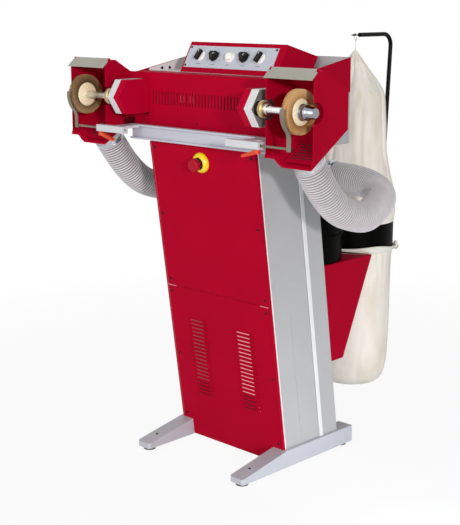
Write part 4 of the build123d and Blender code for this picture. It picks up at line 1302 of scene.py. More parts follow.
@dataclass
class UpperBody:
    """Plinth, side sheets, tray, beam, guard rail with its blocks and the bearing housings."""

    front: float = -0.364
    beam_top: float = 1.165
    half: float = 0.297
    vent_back: float = -0.3598
    vent_mid: float = 1.092
    liner_size: Triple = (0.47, 0.0015, 0.048)
    # Strips of painted glint behind a few of the beam's slots.
    glint_x: tuple[float, ...] = (-0.104, -0.091, -0.065, -0.052)
    glint_size: Triple = (0.0026, 0.0006, 0.020)
    glint_out: float = 0.0009
    plate_ease: float = 0.0014
    face_gap: float = 0.0002
    face_out: float = 0.0004
    face_t: float = 0.0003
    flange_d: float = 0.056
    flange_t: float = 0.0011
    flange_up: float = 0.0006
    sheet_ease: float = 0.0004
    beam_screw: tuple[float, float] = (-0.035, 1.026)
    beam_screw_r: float = 0.003
    beam_screw_h: float = 0.0016
    side_rise: float = 0.052
    side_depth: float = 0.281
    side_back: float = 0.003
    lip_start: float = 0.050
    lip_h: float = 0.010
    lip_down: float = 0.0004
    lip_t: float = 0.0008
    lip_in: float = 0.0036
    tray_screw_x: float = -0.2938
    tray_screw_y: tuple[float, ...] = (-0.2614, -0.2294)
    tray_screw_z: float = 1.1715
    tray_screw_r: float = 0.0045
    tray_screw_h: float = 0.0026

    def build(self) -> None:
        """Dresses the body."""
        dress_nodes(
            (
                ("plinth", "body_plinth", GREY, 0.0012),
                ("body_sides", "body_side_sheets", RED, 0.0009),
                ("rear_cover", "body_back", GREY, 0.0012),
                ("service_tray", "tray_sheet", TRAY_GREY, 0.0008),
                ("beam_cover", "beam_sheet", RED, 0.0008),
                # The sleeves wear the beam's red painted lighter, as painted light.
                ("bearing_sleeves", "sleeve_sheets", SLEEVE_LIT_RED, 0.0008),
                ("bearing_plates", "housing_plates", HOUSING, self.plate_ease),
                ("guard_rail", "front_rail", RAIL, 0.0012),
                ("clamp_blocks", "guard_blocks", BLOCK, 0.001),
            )
        )
        coat(SEAL_AND_SHADE, "spindle_bearings")
        coat(CAST, "drive_motors", "impeller", "motor_pulley_left", "motor_pulley_right")
        coat(RUBBER, "drive_belts")
        self.vents()
        self.plate_face_shade()
        self.tray_screws()
        self.beam_trim()
        self.tray_lips()

    def vents(self) -> None:
        """Liner of painted shade behind the beam's slots, with a strip of painted glint behind a few of
        them.
        """
        middle = Matrix.Translation((0, self.vent_back, self.vent_mid))
        Piece("vent_shade_liner", VENT_SHADE_RED).make(eased_block(self.liner_size, self.sheet_ease, middle))
        # Pale strips behind a few slots are painted glints.
        glints = []
        for x in self.glint_x:
            spot = Matrix.Translation((x, self.vent_back - self.glint_out, self.vent_mid))
            glints.append(eased_block(self.glint_size, self.sheet_ease / 2, spot, 1))
        Piece("vent_glints", PINK_HIGHLIGHT).make(joined(glints))

    def plate_face_shade(self) -> None:
        """Painted shade on the outer face of each bearing plate."""
        faces = eased_copy("bearing_plates", self.plate_ease)
        far = max(abs(v.co.x) for v in faces.verts) - self.face_gap
        inner = [f for f in faces.faces if any(abs(v.co.x) < far for v in f.verts)]
        bmesh.ops.delete(faces, geom=inner, context="FACES")
        for vert in faces.verts:
            vert.co.x *= 1 + self.face_out / far
        bmesh.ops.solidify(faces, geom=faces.faces[:], thickness=self.face_t)
        Piece("housing_face_shade", FACE_SHADE).make(faces)

    def beam_trim(self) -> None:
        """Flange on the beam's top, and one screw in its front."""
        middle = Vector((0, self.front + self.flange_d / 2, self.beam_top + self.flange_up))
        size = (2 * self.half, self.flange_d, self.flange_t)
        flange = eased_block(size, self.sheet_ease, Matrix.Translation(middle))
        Piece("beam_flange", RED).make(flange)
        x, z = self.beam_screw
        place = axes_at(Vector((x, self.front, z)), -Y_AXIS, X_AXIS)
        dark_screws("beam_screw", self.beam_screw_r, self.beam_screw_h, [place])

    def tray_lips(self) -> None:
        """Pale lip along the inside of each side's climbing top edge."""
        foot, climb = self.front + self.side_back, self.side_rise / self.side_depth
        ends = (self.front + self.lip_start, foot + self.side_depth)
        edge = [(y, self.beam_top + climb * (y - foot)) for y in ends]
        outline = [(y, z - self.lip_h) for y, z in edge] + [(y, z - self.lip_down) for y, z in edge[::-1]]
        x = self.half - self.lip_in
        places = [Matrix.Translation((side.value * x, 0, 0)) for side in Side]
        lips = [moved(ridge(outline, self.lip_t), place) for place in places]
        Piece("tray_lips", TRAY_GREY).make(joined(lips))

    def tray_screws(self) -> None:
        """Two screws through the tray's left flange."""
        spots = [Vector((self.tray_screw_x, y, self.tray_screw_z)) for y in self.tray_screw_y]
        places = [axes_at(spot, X_AXIS, Y_AXIS) for spot in spots]
        dark_screws("tray_screws", self.tray_screw_r, self.tray_screw_h, places)


@dataclass
class Console:
    """Sloped console with its plate, selectors, knobs and lamp."""

    face_deg: float = 60.7
    front: float = -0.280
    low: float = 1.165
    plate_x: float = -0.007
    plate_half: float = 0.178
    plate_low: float = 0.016
    plate_h: float = 0.071
    plate_t: float = 0.002
    pitch: float = 0.0605
    up: float = 0.053
    clearance: float = 0.0003
    disc_outline: Profile = ((0.003, 0), (0.018, 0), (0.018, 0.004), (0.016, 0.006), (0, 0.006))
    disc_ease: float = 0.001
    bar_deg: float = 74.0
    bar_size: Triple = (0.033, 0.0125, 0.0122)
    bar_up: float = 0.0119
    bar_ease: float = 0.0022
    bar_line_size: Triple = (0.008, 0.0014, 0.0004)
    bar_line_at: Triple = (0.0105, 0, 0.01805)
    grip_outline: Profile = (
        (0.0118, 0.003),
        (0.0136, 0.004),
        (0.0128, 0.0158),
        (0.0114, 0.0174),
        (0, 0.0174),
    )
    grip_ease: float = 0.0012
    lobe_count: int = 3
    lobe_from: float = 0.0105
    lobe_waist: float = 0.74
    lobe_reach: float = 0.56
    lobe_power: float = 0.8
    skirt_outline: Profile = (
        (0.003, 0),
        (0.0126, 0),
        (0.0126, 0.0018),
        (0.0114, 0.004),
        (0.009, 0.004),
    )
    skirt_ease: float = 0.0008
    grip_line_size: Triple = (0.008, 0.0013, 0.0004)
    grip_line_at: Triple = (0.0052, 0.003, 0.0175)
    grip_line_deg: float = 30.0
    line_ease: float = 0.0001
    bezel_outline: Profile = (
        (0.0137, 0.0005),
        (0.0137, 0.0042),
        (0.0158, 0.004),
        (0.0172, 0.0022),
        (0.0172, 0),
    )
    bezel_ease: float = 0.0008
    dome_outline: Profile = (
        (0.0135, 0.001),
        (0.0135, 0.006),
        (0.012, 0.0105),
        (0.0075, 0.0135),
        (0, 0.0145),
    )
    dome_ease: float = 0.002
    rule_size: Triple = (0.017, 0.0016, 0.00016)
    rule_down: float = 0.025
    tick_size: Triple = (0.0009, 0.0032, 0.00016)
    tick_out: float = 0.0172
    knob_ticks_deg: tuple[float, ...] = (-120, -90, -60, -30, 0, 30, 60, 90, 120)
    selector_ticks_deg: tuple[float, ...] = (-35, 35)
    mark_ease: float = 0.00004
    screw_in: float = 0.006
    screw_r: float = 0.0034
    screw_h: float = 0.0018

    def build(self) -> None:
        """Dresses the console and its controls."""
        Piece("console_shell", RED, stands_for=("console_box",)).make(eased_copy("console_box", 0.0025, 3))
        dress_nodes((("control_plate", "console_plate", PLATE, 0.0005),))
        for side in Side:
            self.selector(side)
            self.knob(side)
        self.lamp()
        self.marks()
        self.corner_screws()

    def spot(self, x: float, up: float, out: float = 0.0) -> Matrix:
        """Axes on the console's plate, with Z outwards and Y up the plate.

        Args:
            x: place across the machine.
            up: distance up the face from its low edge.
            out: distance out from the plate.

        Returns:
            The frame of axes.
        """
        s, c = sin(radians(self.face_deg)), cos(radians(self.face_deg))
        outwards, climb = Vector((0, -s, c)), Vector((0, c, s))
        origin = Vector((x, self.front, self.low)) + climb * up + outwards * (self.plate_t + out)
        return axes_at(origin, outwards, X_AXIS)

    def white_line(self, body: str, size: Triple, place: Matrix) -> None:
        """White line on a control that turns."""
        Piece(body + "_line", WHITE_MARK, body).make(eased_block(size, self.line_ease, place, 1))

    def selector(self, side: Side) -> None:
        """Pale disc with a black bar handle.

        Args:
            side: the side of the plate that it is on.
        """
        body = "selector_" + side.word
        place = self.spot(self.plate_x + side.value * 2 * self.pitch, self.up, self.clearance)
        base = turned(rounded(self.disc_outline, self.disc_ease), place, 48)
        Piece(body + "_disc", WHITE_MARK, body, shade=Shade.ROUND).make(base)
        turn = place @ Matrix.Rotation(radians(self.bar_deg), 4, "Z")
        middle = turn @ Matrix.Translation((0, 0, self.bar_up))
        Piece(body + "_bar", BLACK_PLASTIC, body, (body,)).make(
            eased_block(self.bar_size, self.bar_ease, middle, 3)
        )
        self.white_line(body, self.bar_line_size, turn @ Matrix.Translation(self.bar_line_at))

    def knob(self, side: Side) -> None:
        """Black knob with a lobed grip, a skirt and a white line.

        Args:
            side: the side of the plate that it is on.
        """
        body = "speed_knob_" + side.word
        place = self.spot(self.plate_x + side.value * self.pitch, self.up, self.clearance)
        grip = turned(rounded(self.grip_outline, self.grip_ease), Matrix(), 84)
        for vert in grip.verts:
            if hypot(vert.co.x, vert.co.y) > self.lobe_from:
                turn = atan2(vert.co.y, vert.co.x) + pi / 2
                lobe = 0.5 + 0.5 * cos(self.lobe_count * turn)
                vert.co.xy *= self.lobe_waist + self.lobe_reach * lobe**self.lobe_power
        skirt = turned(rounded(self.skirt_outline, self.skirt_ease), place, 48)
        whole = joined([moved(grip, place), skirt])
        Piece(body + "_grip", BLACK_PLASTIC, body, (body,), Shade.ROUND).make(whole)
        turn = Matrix.Rotation(radians(self.grip_line_deg), 4, "Z")
        self.white_line(body, self.grip_line_size, place @ Matrix.Translation(self.grip_line_at) @ turn)

    def lamp(self) -> None:
        """Lamp with a bright bezel and a domed lens."""
        place = self.spot(self.plate_x, self.up)
        bezel = turned(rounded(self.bezel_outline, self.bezel_ease), place, 48)
        Piece("lamp_bezel", WHITE_MARK, shade=Shade.ROUND).make(bezel)
        lens = turned(rounded(self.dome_outline, self.dome_ease, 4), place, 48)
        Piece("lamp_dome", LAMP, stands_for=("indicator_lamp",), shade=Shade.ROUND).make(lens)

    def marks(self) -> None:
        """Plain ticks round the knobs and selectors, and a short rule under each control."""
        ticks_deg = {0: (), 1: self.knob_ticks_deg, 2: self.selector_ticks_deg}
        marks = []
        for index in range(-2, 3):
            x = self.plate_x + index * self.pitch
            rule = self.spot(x, self.up - self.rule_down)
            marks.append(eased_block(self.rule_size, self.mark_ease, rule, 1))
            for turn in ticks_deg[abs(index)]:
                place = self.spot(x, self.up) @ Matrix.Rotation(radians(-turn), 4, "Z")
                tick = place @ Matrix.Translation((0, self.tick_out, 0))
                marks.append(eased_block(self.tick_size, self.mark_ease, tick, 1))
        Piece("plate_marks", MARK).make(joined(marks))

    def corner_screws(self) -> None:
        """Dark screw in each corner of the plate."""
        across = self.plate_half - self.screw_in
        heights = (self.plate_low + self.screw_in, self.plate_low + self.plate_h - self.screw_in)
        places = [self.spot(self.plate_x + side.value * across, up) for side in Side for up in heights]
        dark_screws("plate_screws", self.screw_r, self.screw_h, places)


@dataclass
class BrushSpindle:
    """A spindle with its collar, brush and nut."""

    side: Side
    hair: Hair
    axis_y: float = -0.452
    axis_z: float = 1.095
    pulley_x: float = 0.2435
    pulley_r: float = 0.019
    pulley_w: float = 0.018
    shaft_r: float = 0.010
    shaft_ease: float = 0.0009
    seat_r: float = 0.008
    thread_l: float = 0.020
    collar_x: float = 0.303
    collar_l: float = 0.015
    collar_r: float = 0.024
    collar_shares: Profile = (
        (0.86, 0),
        (0.93, 0.16),
        (0.97, 0.2),
        (0.97, 0.8),
        (0.93, 0.84),
        (0.86, 1),
    )
    knurl_count: int = 36
    knurl_from: float = 0.95
    knurl_depth: float = 0.028
    ring_l: float = 0.010
    ring_r: float = 0.015
    brush_x: float = 0.431
    brush_w: float = 0.022
    brush_r: float = 0.060
    core_r: float = 0.036
    core_rim: float = 0.0035
    core_ease: float = 0.0022
    hair_in: float = 0.004
    heart_shares: Profile = ((0.90, -0.46), (0.94, 0), (0.90, 0.46))
    heart_lift: float = 0.0002
    full_tone_share: float = 0.7
    row_count: int = 10
    strands_per_row: int = 250
    strand_root_r: float = 0.00075
    strand_tip_r: float = 0.00042
    strand_share: float = 0.975
    strand_drift: float = 0.02
    splay: float = 0.06
    tuft_count: int = 58
    washer_r: float = 0.022
    washer_bore: float = 0.012
    washer_t: float = 0.004
    washer_ease: float = 0.0012
    nut_outline: Profile = (
        (0.014, 0.0042),
        (0.0188, 0.0042),
        (0.020, 0.0072),
        (0.020, 0.018),
        (0.018, 0.020),
        (0.0166, 0.030),
        (0.0145, 0.043),
        (0.0125, 0.046),
        (0.005, 0.046),
        (0, 0.0445),
    )
    nut_ease: float = 0.0014

    def build(self) -> None:
        """Builds and dresses everything that turns with the spindle."""
        self.shaft()
        self.collar()
        self.core()
        self.bristles()
        self.nut()

    @property
    def body(self) -> str:
        """The frame body that turns."""
        return "spindle_" + self.side.word

    @property
    def axle(self) -> Matrix:
        """Axes on the spindle line, with Z outwards from the machine's middle."""
        origin = Vector((0, self.axis_y, self.axis_z))
        return axes_at(origin, X_AXIS * self.side.value, Z_AXIS)

    def piece(self, node: str, name: str, finish: Finish, shade: Shade = Shade.ROUND) -> Piece:
        """Description of a piece on the spindle that stands for a node."""
        word = self.side.word
        return Piece(f"{name}_{word}", finish, self.body, (f"{node}_{word}",), shade)

    def shaft(self) -> None:
        """Ground shaft with its pulley, shoulder ring and threaded end."""
        ring = self.collar_x + self.collar_l
        seat = self.brush_x - self.brush_w / 2
        end = seat + self.brush_w + self.thread_l
        profile = [
            (0, self.pulley_x),
            (self.pulley_r, self.pulley_x),
            (self.pulley_r, self.pulley_x + self.pulley_w),
            (self.shaft_r, self.pulley_x + self.pulley_w),
            (self.shaft_r, ring),
            (self.ring_r, ring),
            (self.ring_r, ring + self.ring_l),
            (self.shaft_r, ring + self.ring_l),
            (self.shaft_r, seat),
            (self.seat_r, seat),
            (self.seat_r, end),
            (0, end),
        ]
        shaft = turned(rounded(profile, self.shaft_ease), self.axle, 64)
        self.piece("spindle", "shaft", STEEL).make(shaft)

    def collar(self) -> None:
        """Lock collar with a knurled rim between plain lips."""
        r, x, bore = self.collar_r, self.collar_x, self.shaft_r + BORE_PLAY
        rim = [(r * out, x + self.collar_l * share) for out, share in self.collar_shares]
        collar = turned([(bore, x), *rim, (bore, x + self.collar_l)], Matrix(), self.knurl_count * 4)
        for vert in collar.verts:
            if hypot(vert.co.x, vert.co.y) > r * self.knurl_from:
                wave = cos(self.knurl_count * atan2(vert.co.y, vert.co.x))
                vert.co.xy *= 1 + self.knurl_depth * wave
        self.piece("lock_collar", "knurled_collar", BRASS).make(moved(collar, self.axle))

    def core(self) -> None:
        """Wooden core with rounded rims."""
        x0, x1 = self.brush_x - self.brush_w / 2, self.brush_x + self.brush_w / 2
        bore, r, rim = self.seat_r + BORE_PLAY, self.core_r, self.core_rim
        profile = [(bore, x0), (r - rim, x0), (r, x0 + rim), (r, x1 - rim), (r - rim, x1), (bore, x1)]
        self.piece("brush_core", "core", WOOD).make(turned(rounded(profile, self.core_ease), self.axle, 96))

    def bristles(self) -> None:
        """Rows of fine strands round the core, over a dense heart."""
        width = self.brush_w - self.hair_in
        low, high = self.brush_x - width / 2, self.brush_x + width / 2
        foot = self.core_r + self.heart_lift
        heart = [(self.brush_r * out, self.brush_x + width * side) for out, side in self.heart_shares]
        brush = turned([(foot, low), *heart, (foot, high)], Matrix(), 180)
        tone = brush.verts.layers.float.new("tone")
        for vert in brush.verts:
            vert[tone] = 0.5 + 0.5 * noise.noise(vert.co * 900)
        for row in range(self.row_count):
            share = row / (self.row_count - 1)
            for i in range(self.strands_per_row):
                seed = Vector((row * 7.3, i * 0.37, self.side.value * 3.1))
                wobble = noise.noise_vector(seed)
                angle = tau * (i + 0.5 * (row % 2)) / self.strands_per_row + wobble.x * 0.03
                tilt = (share - 0.5) * self.splay + wobble.y * 0.05
                self.strand(brush, low + share * width, angle, tilt, wobble.z)
        along = brush.verts.layers.float.new("along")
        for vert in brush.verts:
            out = hypot(vert.co.x, vert.co.y)
            vert[along] = between(self.core_r, self.brush_r * self.full_tone_share, out)
        self.piece("bristles", "hair", self.hair).make(moved(brush, self.axle))

    def strand(self, brush: bmesh.types.BMesh, x: float, angle: float, tilt: float, odd: float) -> None:
        """Adds one tapering strand.

        Args:
            brush: the mesh that it joins, with a layer for the strands' tones.
            x: its root's place along the spindle.
            angle: its place round the spindle.
            tilt: lean along the spindle, in radians.
            odd: chance from -1 to 1 that varies its length and tone.
        """
        tone = brush.verts.layers.float["tone"]
        length = self.brush_r * (self.strand_share + self.strand_drift * odd) - self.core_r
        turn = Matrix.Rotation(angle, 4, "Z") @ Matrix.Translation((self.core_r, 0, x))
        lie = Matrix.Rotation(pi / 2 - tilt, 4, "Y") @ Matrix.Translation((0, 0, length / 2))
        made = bmesh.ops.create_cone(
            brush,
            cap_ends=False,
            segments=3,
            radius1=self.strand_root_r,
            radius2=self.strand_tip_r,
            depth=length,
            matrix=turn @ lie,
        )
        for vert in made["verts"]:
            vert[tone] = 0.5 + 0.3 * odd + 0.25 * sin(self.tuft_count * angle)

    def nut(self) -> None:
        """Chrome nut with a washer, a stepped body and a blunt tip."""
        x0 = self.brush_x + self.brush_w / 2
        x1 = x0 + self.washer_t
        bore, r = self.seat_r + BORE_PLAY, self.washer_r
        washer = [(bore, x0), (r, x0), (r, x1), (self.washer_bore, x1)]
        plain = turned(rounded(washer, self.washer_ease), self.axle, 64)
        Piece(f"nut_washer_{self.side.word}", CLAMP_STEEL, self.body, shade=Shade.ROUND).make(plain)
        nut = [(r, x0 + out) for r, out in self.nut_outline]
        body = turned(rounded(nut, self.nut_ease), self.axle, 64)
        self.piece("spindle_nut", "chrome_nut", CHROME).make(body)


@dataclass
class BrushHood:
    """A folded hood with its visor."""

    side: Side
    gap_shade_size: Triple = (0.0016, 0.037, 0.031)
    gap_shade_at: Triple = (0.3037, -0.384, 1.0145)
    gap_shade_ease: float = 0.0004

    def build(self) -> None:
        """Dresses the hood and its visor, and fills the gap below the beam's end with a plate of painted
        shade.
        """
        word = self.side.word
        dress_nodes(((f"hood_{word}", f"hood_shell_{word}", RED, 0.0008),))
        flap = eased_copy(f"visor_{word}", 0.0006)
        Piece(f"visor_flap_{word}", VISOR_GREY, f"visor_{word}", (f"visor_{word}",)).make(flap)
        # A plate in painted shade fills the gap below the beam's end.
        x, y, z = self.gap_shade_at
        place = Matrix.Translation((self.side.value * x, y, z))
        flange = eased_block(self.gap_shade_size, self.gap_shade_ease, place)
        Piece(f"hood_flange_{word}", RED_SHADE).make(flange)


@dataclass
class SlidingGuard:
    """A bent guard strip on its rod, and the lever that clamps it."""

    side: Side

    def build(self) -> None:
        """Dresses the guard and its lever."""
        word = self.side.word
        strip = eased_copy(f"guard_{word}", 0.0006)
        Piece(f"guard_strip_{word}", GUARD_STEEL, f"guard_{word}", (f"guard_{word}",)).make(strip)
        lever = eased_copy(f"clamp_lever_{word}", 0.0025, 4)
        Piece(f"lever_{word}", ORANGE, f"clamp_lever_{word}", (f"clamp_lever_{word}",)).make(lever)


@dataclass
class SuctionHose:
    """Ribbed hose from a hood's spigot to the manifold, with a clamp at each end."""

    side: Side
    radius: float = 0.045
    wall: float = 0.006
    groove: float = 0.0058
    pitch: float = 0.0082
    crest_power: float = 0.7
    cuff: float = 0.014
    cuff_in: float = 0.001
    steps_per_rib: int = 8
    sides: int = 44
    length: float = 0.75
    route: tuple[Triple, ...] = (
        (0.4065, -0.386271, 0.961163),
        (0.4065, -0.299, 0.828),
        (0.406, -0.156, 0.777),
        (0.388, -0.081, 0.782),
        (0.341, 0.041, 0.814),
        (0.242, 0.064, 0.846),
        (0.130, 0.064, 0.846),
    )
    route_steps: int = 40
    band_in: float = 0.0009
    band_outline: Profile = ((0, -0.006), (0.0012, -0.006), (0.0016, 0), (0.0012, 0.006), (0, 0.006))
    band_ease: float = 0.0003
    ear_size: Triple = (0.020, 0.008, 0.011)
    ear_out: float = 0.004
    ear_ease: float = 0.0012
    worm_outline: Profile = (
        (0, -0.013),
        (0.0028, -0.013),
        (0.0028, 0.013),
        (0.0042, 0.013),
        (0.0042, 0.018),
        (0, 0.018),
    )
    worm_out: float = 0.001
    worm_ease: float = 0.0006

    def line(self) -> list[Vector]:
        """Points of the route's smooth spline.

        Returns:
            The points from the hood to the manifold.
        """
        spots = [(self.side.value * x, y, z) for x, y, z in self.route]
        curve = smooth_curve("hose_route", spots, self.route_steps)
        holder = bpy.data.objects.new("hose_route", curve)
        mesh = bpy.data.meshes.new_from_object(holder)
        points = [v.co.copy() for v in mesh.vertices]
        bpy.data.meshes.remove(mesh)
        bpy.data.objects.remove(holder)
        bpy.data.curves.remove(curve)
        return points

    def frames(self, points: list[Vector]) -> Frames:
        """Untwisted axes along a line.

        Args:
            points: the line's points in order.

        Returns:
            The distance along the line and the axes at each point.
        """
        across = Z_AXIS.cross(points[1] - points[0]).normalized()
        made, gone = [], 0.0
        for i, point in enumerate(points):
            ahead = (points[min(i + 1, len(points) - 1)] - points[max(i - 1, 0)]).normalized()
            across = (across - ahead * across.dot(ahead)).normalized()
            if i:
                gone += (point - points[i - 1]).length
            made.append((gone, axes_at(point, ahead, across)))
        return made

    def at(self, frames: Frames, distance: float) -> Matrix:
        """Axes at a distance along the line.

        Args:
            frames: distances and axes along the line.
            distance: how far along it.

        Returns:
            The axes there, between those of the nearest points.
        """
        i = 0
        while i < len(frames) - 2 and frames[i + 1][0] < distance:
            i += 1
        (start, first), (end, second) = frames[i], frames[i + 1]
        return first.lerp(second, max(0.0, min(1.0, (distance - start) / (end - start))))

    def build(self) -> None:
        word = self.side.word
        points = self.line()
        frames = self.frames(points)
        whole = frames[-1][0]
        tube = turned(self.ribs(whole), Matrix(), self.sides)
        height = tube.verts.layers.float.new("height")
        for vert in tube.verts:
            vert[height] = 1 - (self.radius - hypot(vert.co.x, vert.co.y)) / self.groove
            place = self.at(frames, vert.co.z)
            vert.co = place @ Vector((vert.co.x, vert.co.y, 0))
        bmesh.ops.recalc_face_normals(tube, faces=tube.faces)
        node = f"hose_{word}"
        hose = Piece(f"ribbed_hose_{word}", HOSE_GREY, "machine", (node,), Shade.ROUND, 75).make(tube)
        for end, distance in (("front", self.cuff / 2), ("rear", whole - self.cuff / 2)):
            clamp = self.clamp(self.at(frames, distance))
            Piece(f"{end}_hose_clamp_{word}", CLAMP_STEEL).make(clamp)

    def ribs(self, whole: float) -> Profile:
        """Profile of the hose along a straight line: plain cuffs and rounded ribs between.

        Args:
            whole: length of the hose.

        Returns:
            The (radius, distance) points from one end to the other.
        """
        inner, cuff_r = self.radius - self.wall, self.radius - self.cuff_in
        profile = [(inner, 0.0), (cuff_r, 0.0), (cuff_r, self.cuff)]
        count = round((whole - 2 * self.cuff) / self.pitch)
        pitch = (whole - 2 * self.cuff) / count
        for i in range(count * self.steps_per_rib):
            share = (i + 0.5) / self.steps_per_rib
            crest = (0.5 - 0.5 * cos(tau * share)) ** self.crest_power
            profile.append((self.radius - self.groove * (1 - crest), self.cuff + share * pitch))
        return profile + [(cuff_r, whole - self.cuff), (cuff_r, whole), (inner, whole)]

    def clamp(self, place: Matrix) -> bmesh.types.BMesh:
        """Steel band with a worm screw, round the hose's cuff.

        Args:
            place: axes on the hose's line, with Z along it.

        Returns:
            The clamp's mesh.
        """
        r = self.radius - self.band_in
        band = [(r + out, along) for out, along in self.band_outline]
        ear = place @ Matrix.Translation((0, r + self.ear_out, 0))
        axle = ear @ Matrix.Translation((0, self.worm_out, 0)) @ axes_at(Vector(), X_AXIS, Z_AXIS)
        parts = [
            turned(rounded(band, self.band_ease), place, 64),
            eased_block(self.ear_size, self.ear_ease, ear),
            turned(rounded(self.worm_outline, self.worm_ease), axle, 20),
        ]
        return joined(parts)


@dataclass
class HoodFloors:
    """Suction grilles in the floors of both hoods, with a plate of painted shade close under each."""

    shade_plate_x: tuple[float, float] = (-0.3721, 0.4409)
    shade_plate_y: float = -0.42925
    shade_plate_z: float = 0.98967
    screen_size: Triple = (0.0877, 0.068, 0.0008)
    shade_plate_ease: float = 0.0002
    upwards: Triple = (0, -0.548, 0.836)

    def build(self) -> None:
        """Dresses the grilles and builds the plates of painted shade under them."""
        dress_nodes((("suction_grilles", "floor_grilles", RED, 0.0005),))
        shade_plates = []
        for x in self.shade_plate_x:
            place = axes_at(Vector((x, self.shade_plate_y, self.shade_plate_z)), Vector(self.upwards), X_AXIS)
            shade_plates.append(eased_block(self.screen_size, self.shade_plate_ease, place, 1))
        Piece("grille_shade_plates", SEAL_AND_SHADE).make(joined(shade_plates))


@dataclass(frozen=True)
class Gathers:
    """Pleats that a bag's cloth is drawn into towards its top, by shares of its height."""

    count: int
    depth: float
    start: float
    end: float


@dataclass(frozen=True)
class Stain:
    """Soft spot on a bag, with its height and tallness as shares of the bag's height."""

    turn_deg: float
    height: float
    wide_deg: float
    tall: float
    strength: float


@dataclass
class ClothBag:
    """A cloth skin from a net of cloth, folded by a few formulas."""

    name: str
    outline: Profile
    stands_for: tuple[str, ...]
    gathers: Gathers
    axis_y: float = 0.330
    lean: float = 0.0
    slack: float = 1.0
    stains: tuple[Stain, ...] = ()
    around: int = 168
    rows: int = 130
    crease_count: int = 9
    tied_r: float = 0.06
    slack_r: float = 0.05
    seam_share: float = 0.12
    hem_share: float = 0.9

    def skin(self) -> bmesh.types.BMesh:
        """Net of cloth wrapped round the bag's axis.

        Returns:
            The bag's mesh, with its stains stored.
        """
        girth = tau * max(point[0] for point in self.outline)
        low, high = self.outline[0][1], self.outline[-1][1]
        height = sum(hypot(a[0] - b[0], a[1] - b[1]) for a, b in zip(self.outline, self.outline[1:]))
        bm = cloth_net(self.around, self.rows, girth, height)
        stain = bm.verts.layers.float.new("stain")
        for vert in bm.verts:
            angle, share = vert.co.x * tau + pi / 2, vert.co.y
            spot = along_points(self.outline, share)
            r = max(0.0, spot.x + self.fold(angle, share, spot.x))
            vert[stain] = self.stained(angle, share)
            middle = self.axis_y - self.lean * (spot.y - low) / (high - low)
            vert.co = (r * cos(angle), middle + r * sin(angle), spot.y + self.sag(angle, share))
        return welded(bm, 1e-5)

    def fold(self, angle: float, share: float, radius: float) -> float:
        """How far the cloth stands out from its plain outline.

        Args:
            angle: place round the bag.
            share: place from its low edge to its top.
            radius: the plain outline's radius there.

        Returns:
            The distance outwards, in metres.
        """
        drift = 0.9 * noise.noise(Vector((cos(angle) * 1.2, sin(angle) * 1.2, share * 2.5)))
        pleat = abs(sin((self.gathers.count * angle + 4 * drift) / 2)) - 0.6
        drawn = between(self.gathers.start, self.gathers.end, share)
        gathered = self.gathers.depth * min(1.0, radius / self.tied_r) * pleat * drawn
        free = between(0.0, self.seam_share, share) * between(1.0, self.hem_share, share)
        swell = 0.0045 * sin(3 * angle + 1.1 + 2.2 * share) + 0.003 * sin(5 * angle - 3.0 * share)
        spot = Vector((cos(angle) * 3.0, sin(angle) * 3.0, share * 5.0))
        rumple = 0.0035 * noise.noise(spot) + 0.0012 * noise.noise(spot * 3.1)
        loose = (swell - self.creases(angle, share) + rumple) * free * min(1.0, radius / self.slack_r)
        return gathered + self.slack * loose

    def creases(self, angle: float, share: float) -> float:
        """Depth of the long creases that wander up the bag.

        Args:
            angle: place round the bag.
            share: place from its low edge to its top.

        Returns:
            The depth there, in metres.
        """
        depth = 0.0
        for k in range(self.crease_count):
            line = tau * (k * GOLDEN_TURN % 1.0) + 0.5 * sin(2.1 * k + 3.0 * share) * share
            width = 0.05 + 0.02 * (k % 2)
            depth += (0.0022 + 0.0016 * (k % 3)) * bell(turn_gap(angle, line), width)
        return depth

    def stained(self, angle: float, share: float) -> float:
        """How strongly the cloth is stained.

        Args:
            angle: place round the bag.
            share: place from its low edge to its top.

        Returns:
            The strength of the strongest stain there, from 0 to 1.
        """
        most = 0.0
        for stain in self.stains:
            across = bell(turn_gap(angle, radians(stain.turn_deg)), radians(stain.wide_deg))
            most = max(most, stain.strength * across * bell(share - stain.height, stain.tall))
        return most

    def sag(self, angle: float, share: float) -> float:
        """How far the cloth hangs above or below its plain outline."""
        return 0.004 * noise.noise(Vector((cos(angle), sin(angle), share * 3.0))) * sin(pi * share)

    def build(self, flat: tuple[float, float], area: float, rests_on: list[str]) -> None:
        """Builds the bag.

        Args:
            flat: width and length of the cut, not used.
            area: flat area of the cut, not used.
            rests_on: what the bag hangs from, not used.
        """
        piece = Piece(self.name, BAG, stands_for=self.stands_for, shade=Shade.ROUND, smooth_deg=180)
        piece.make(self.skin())


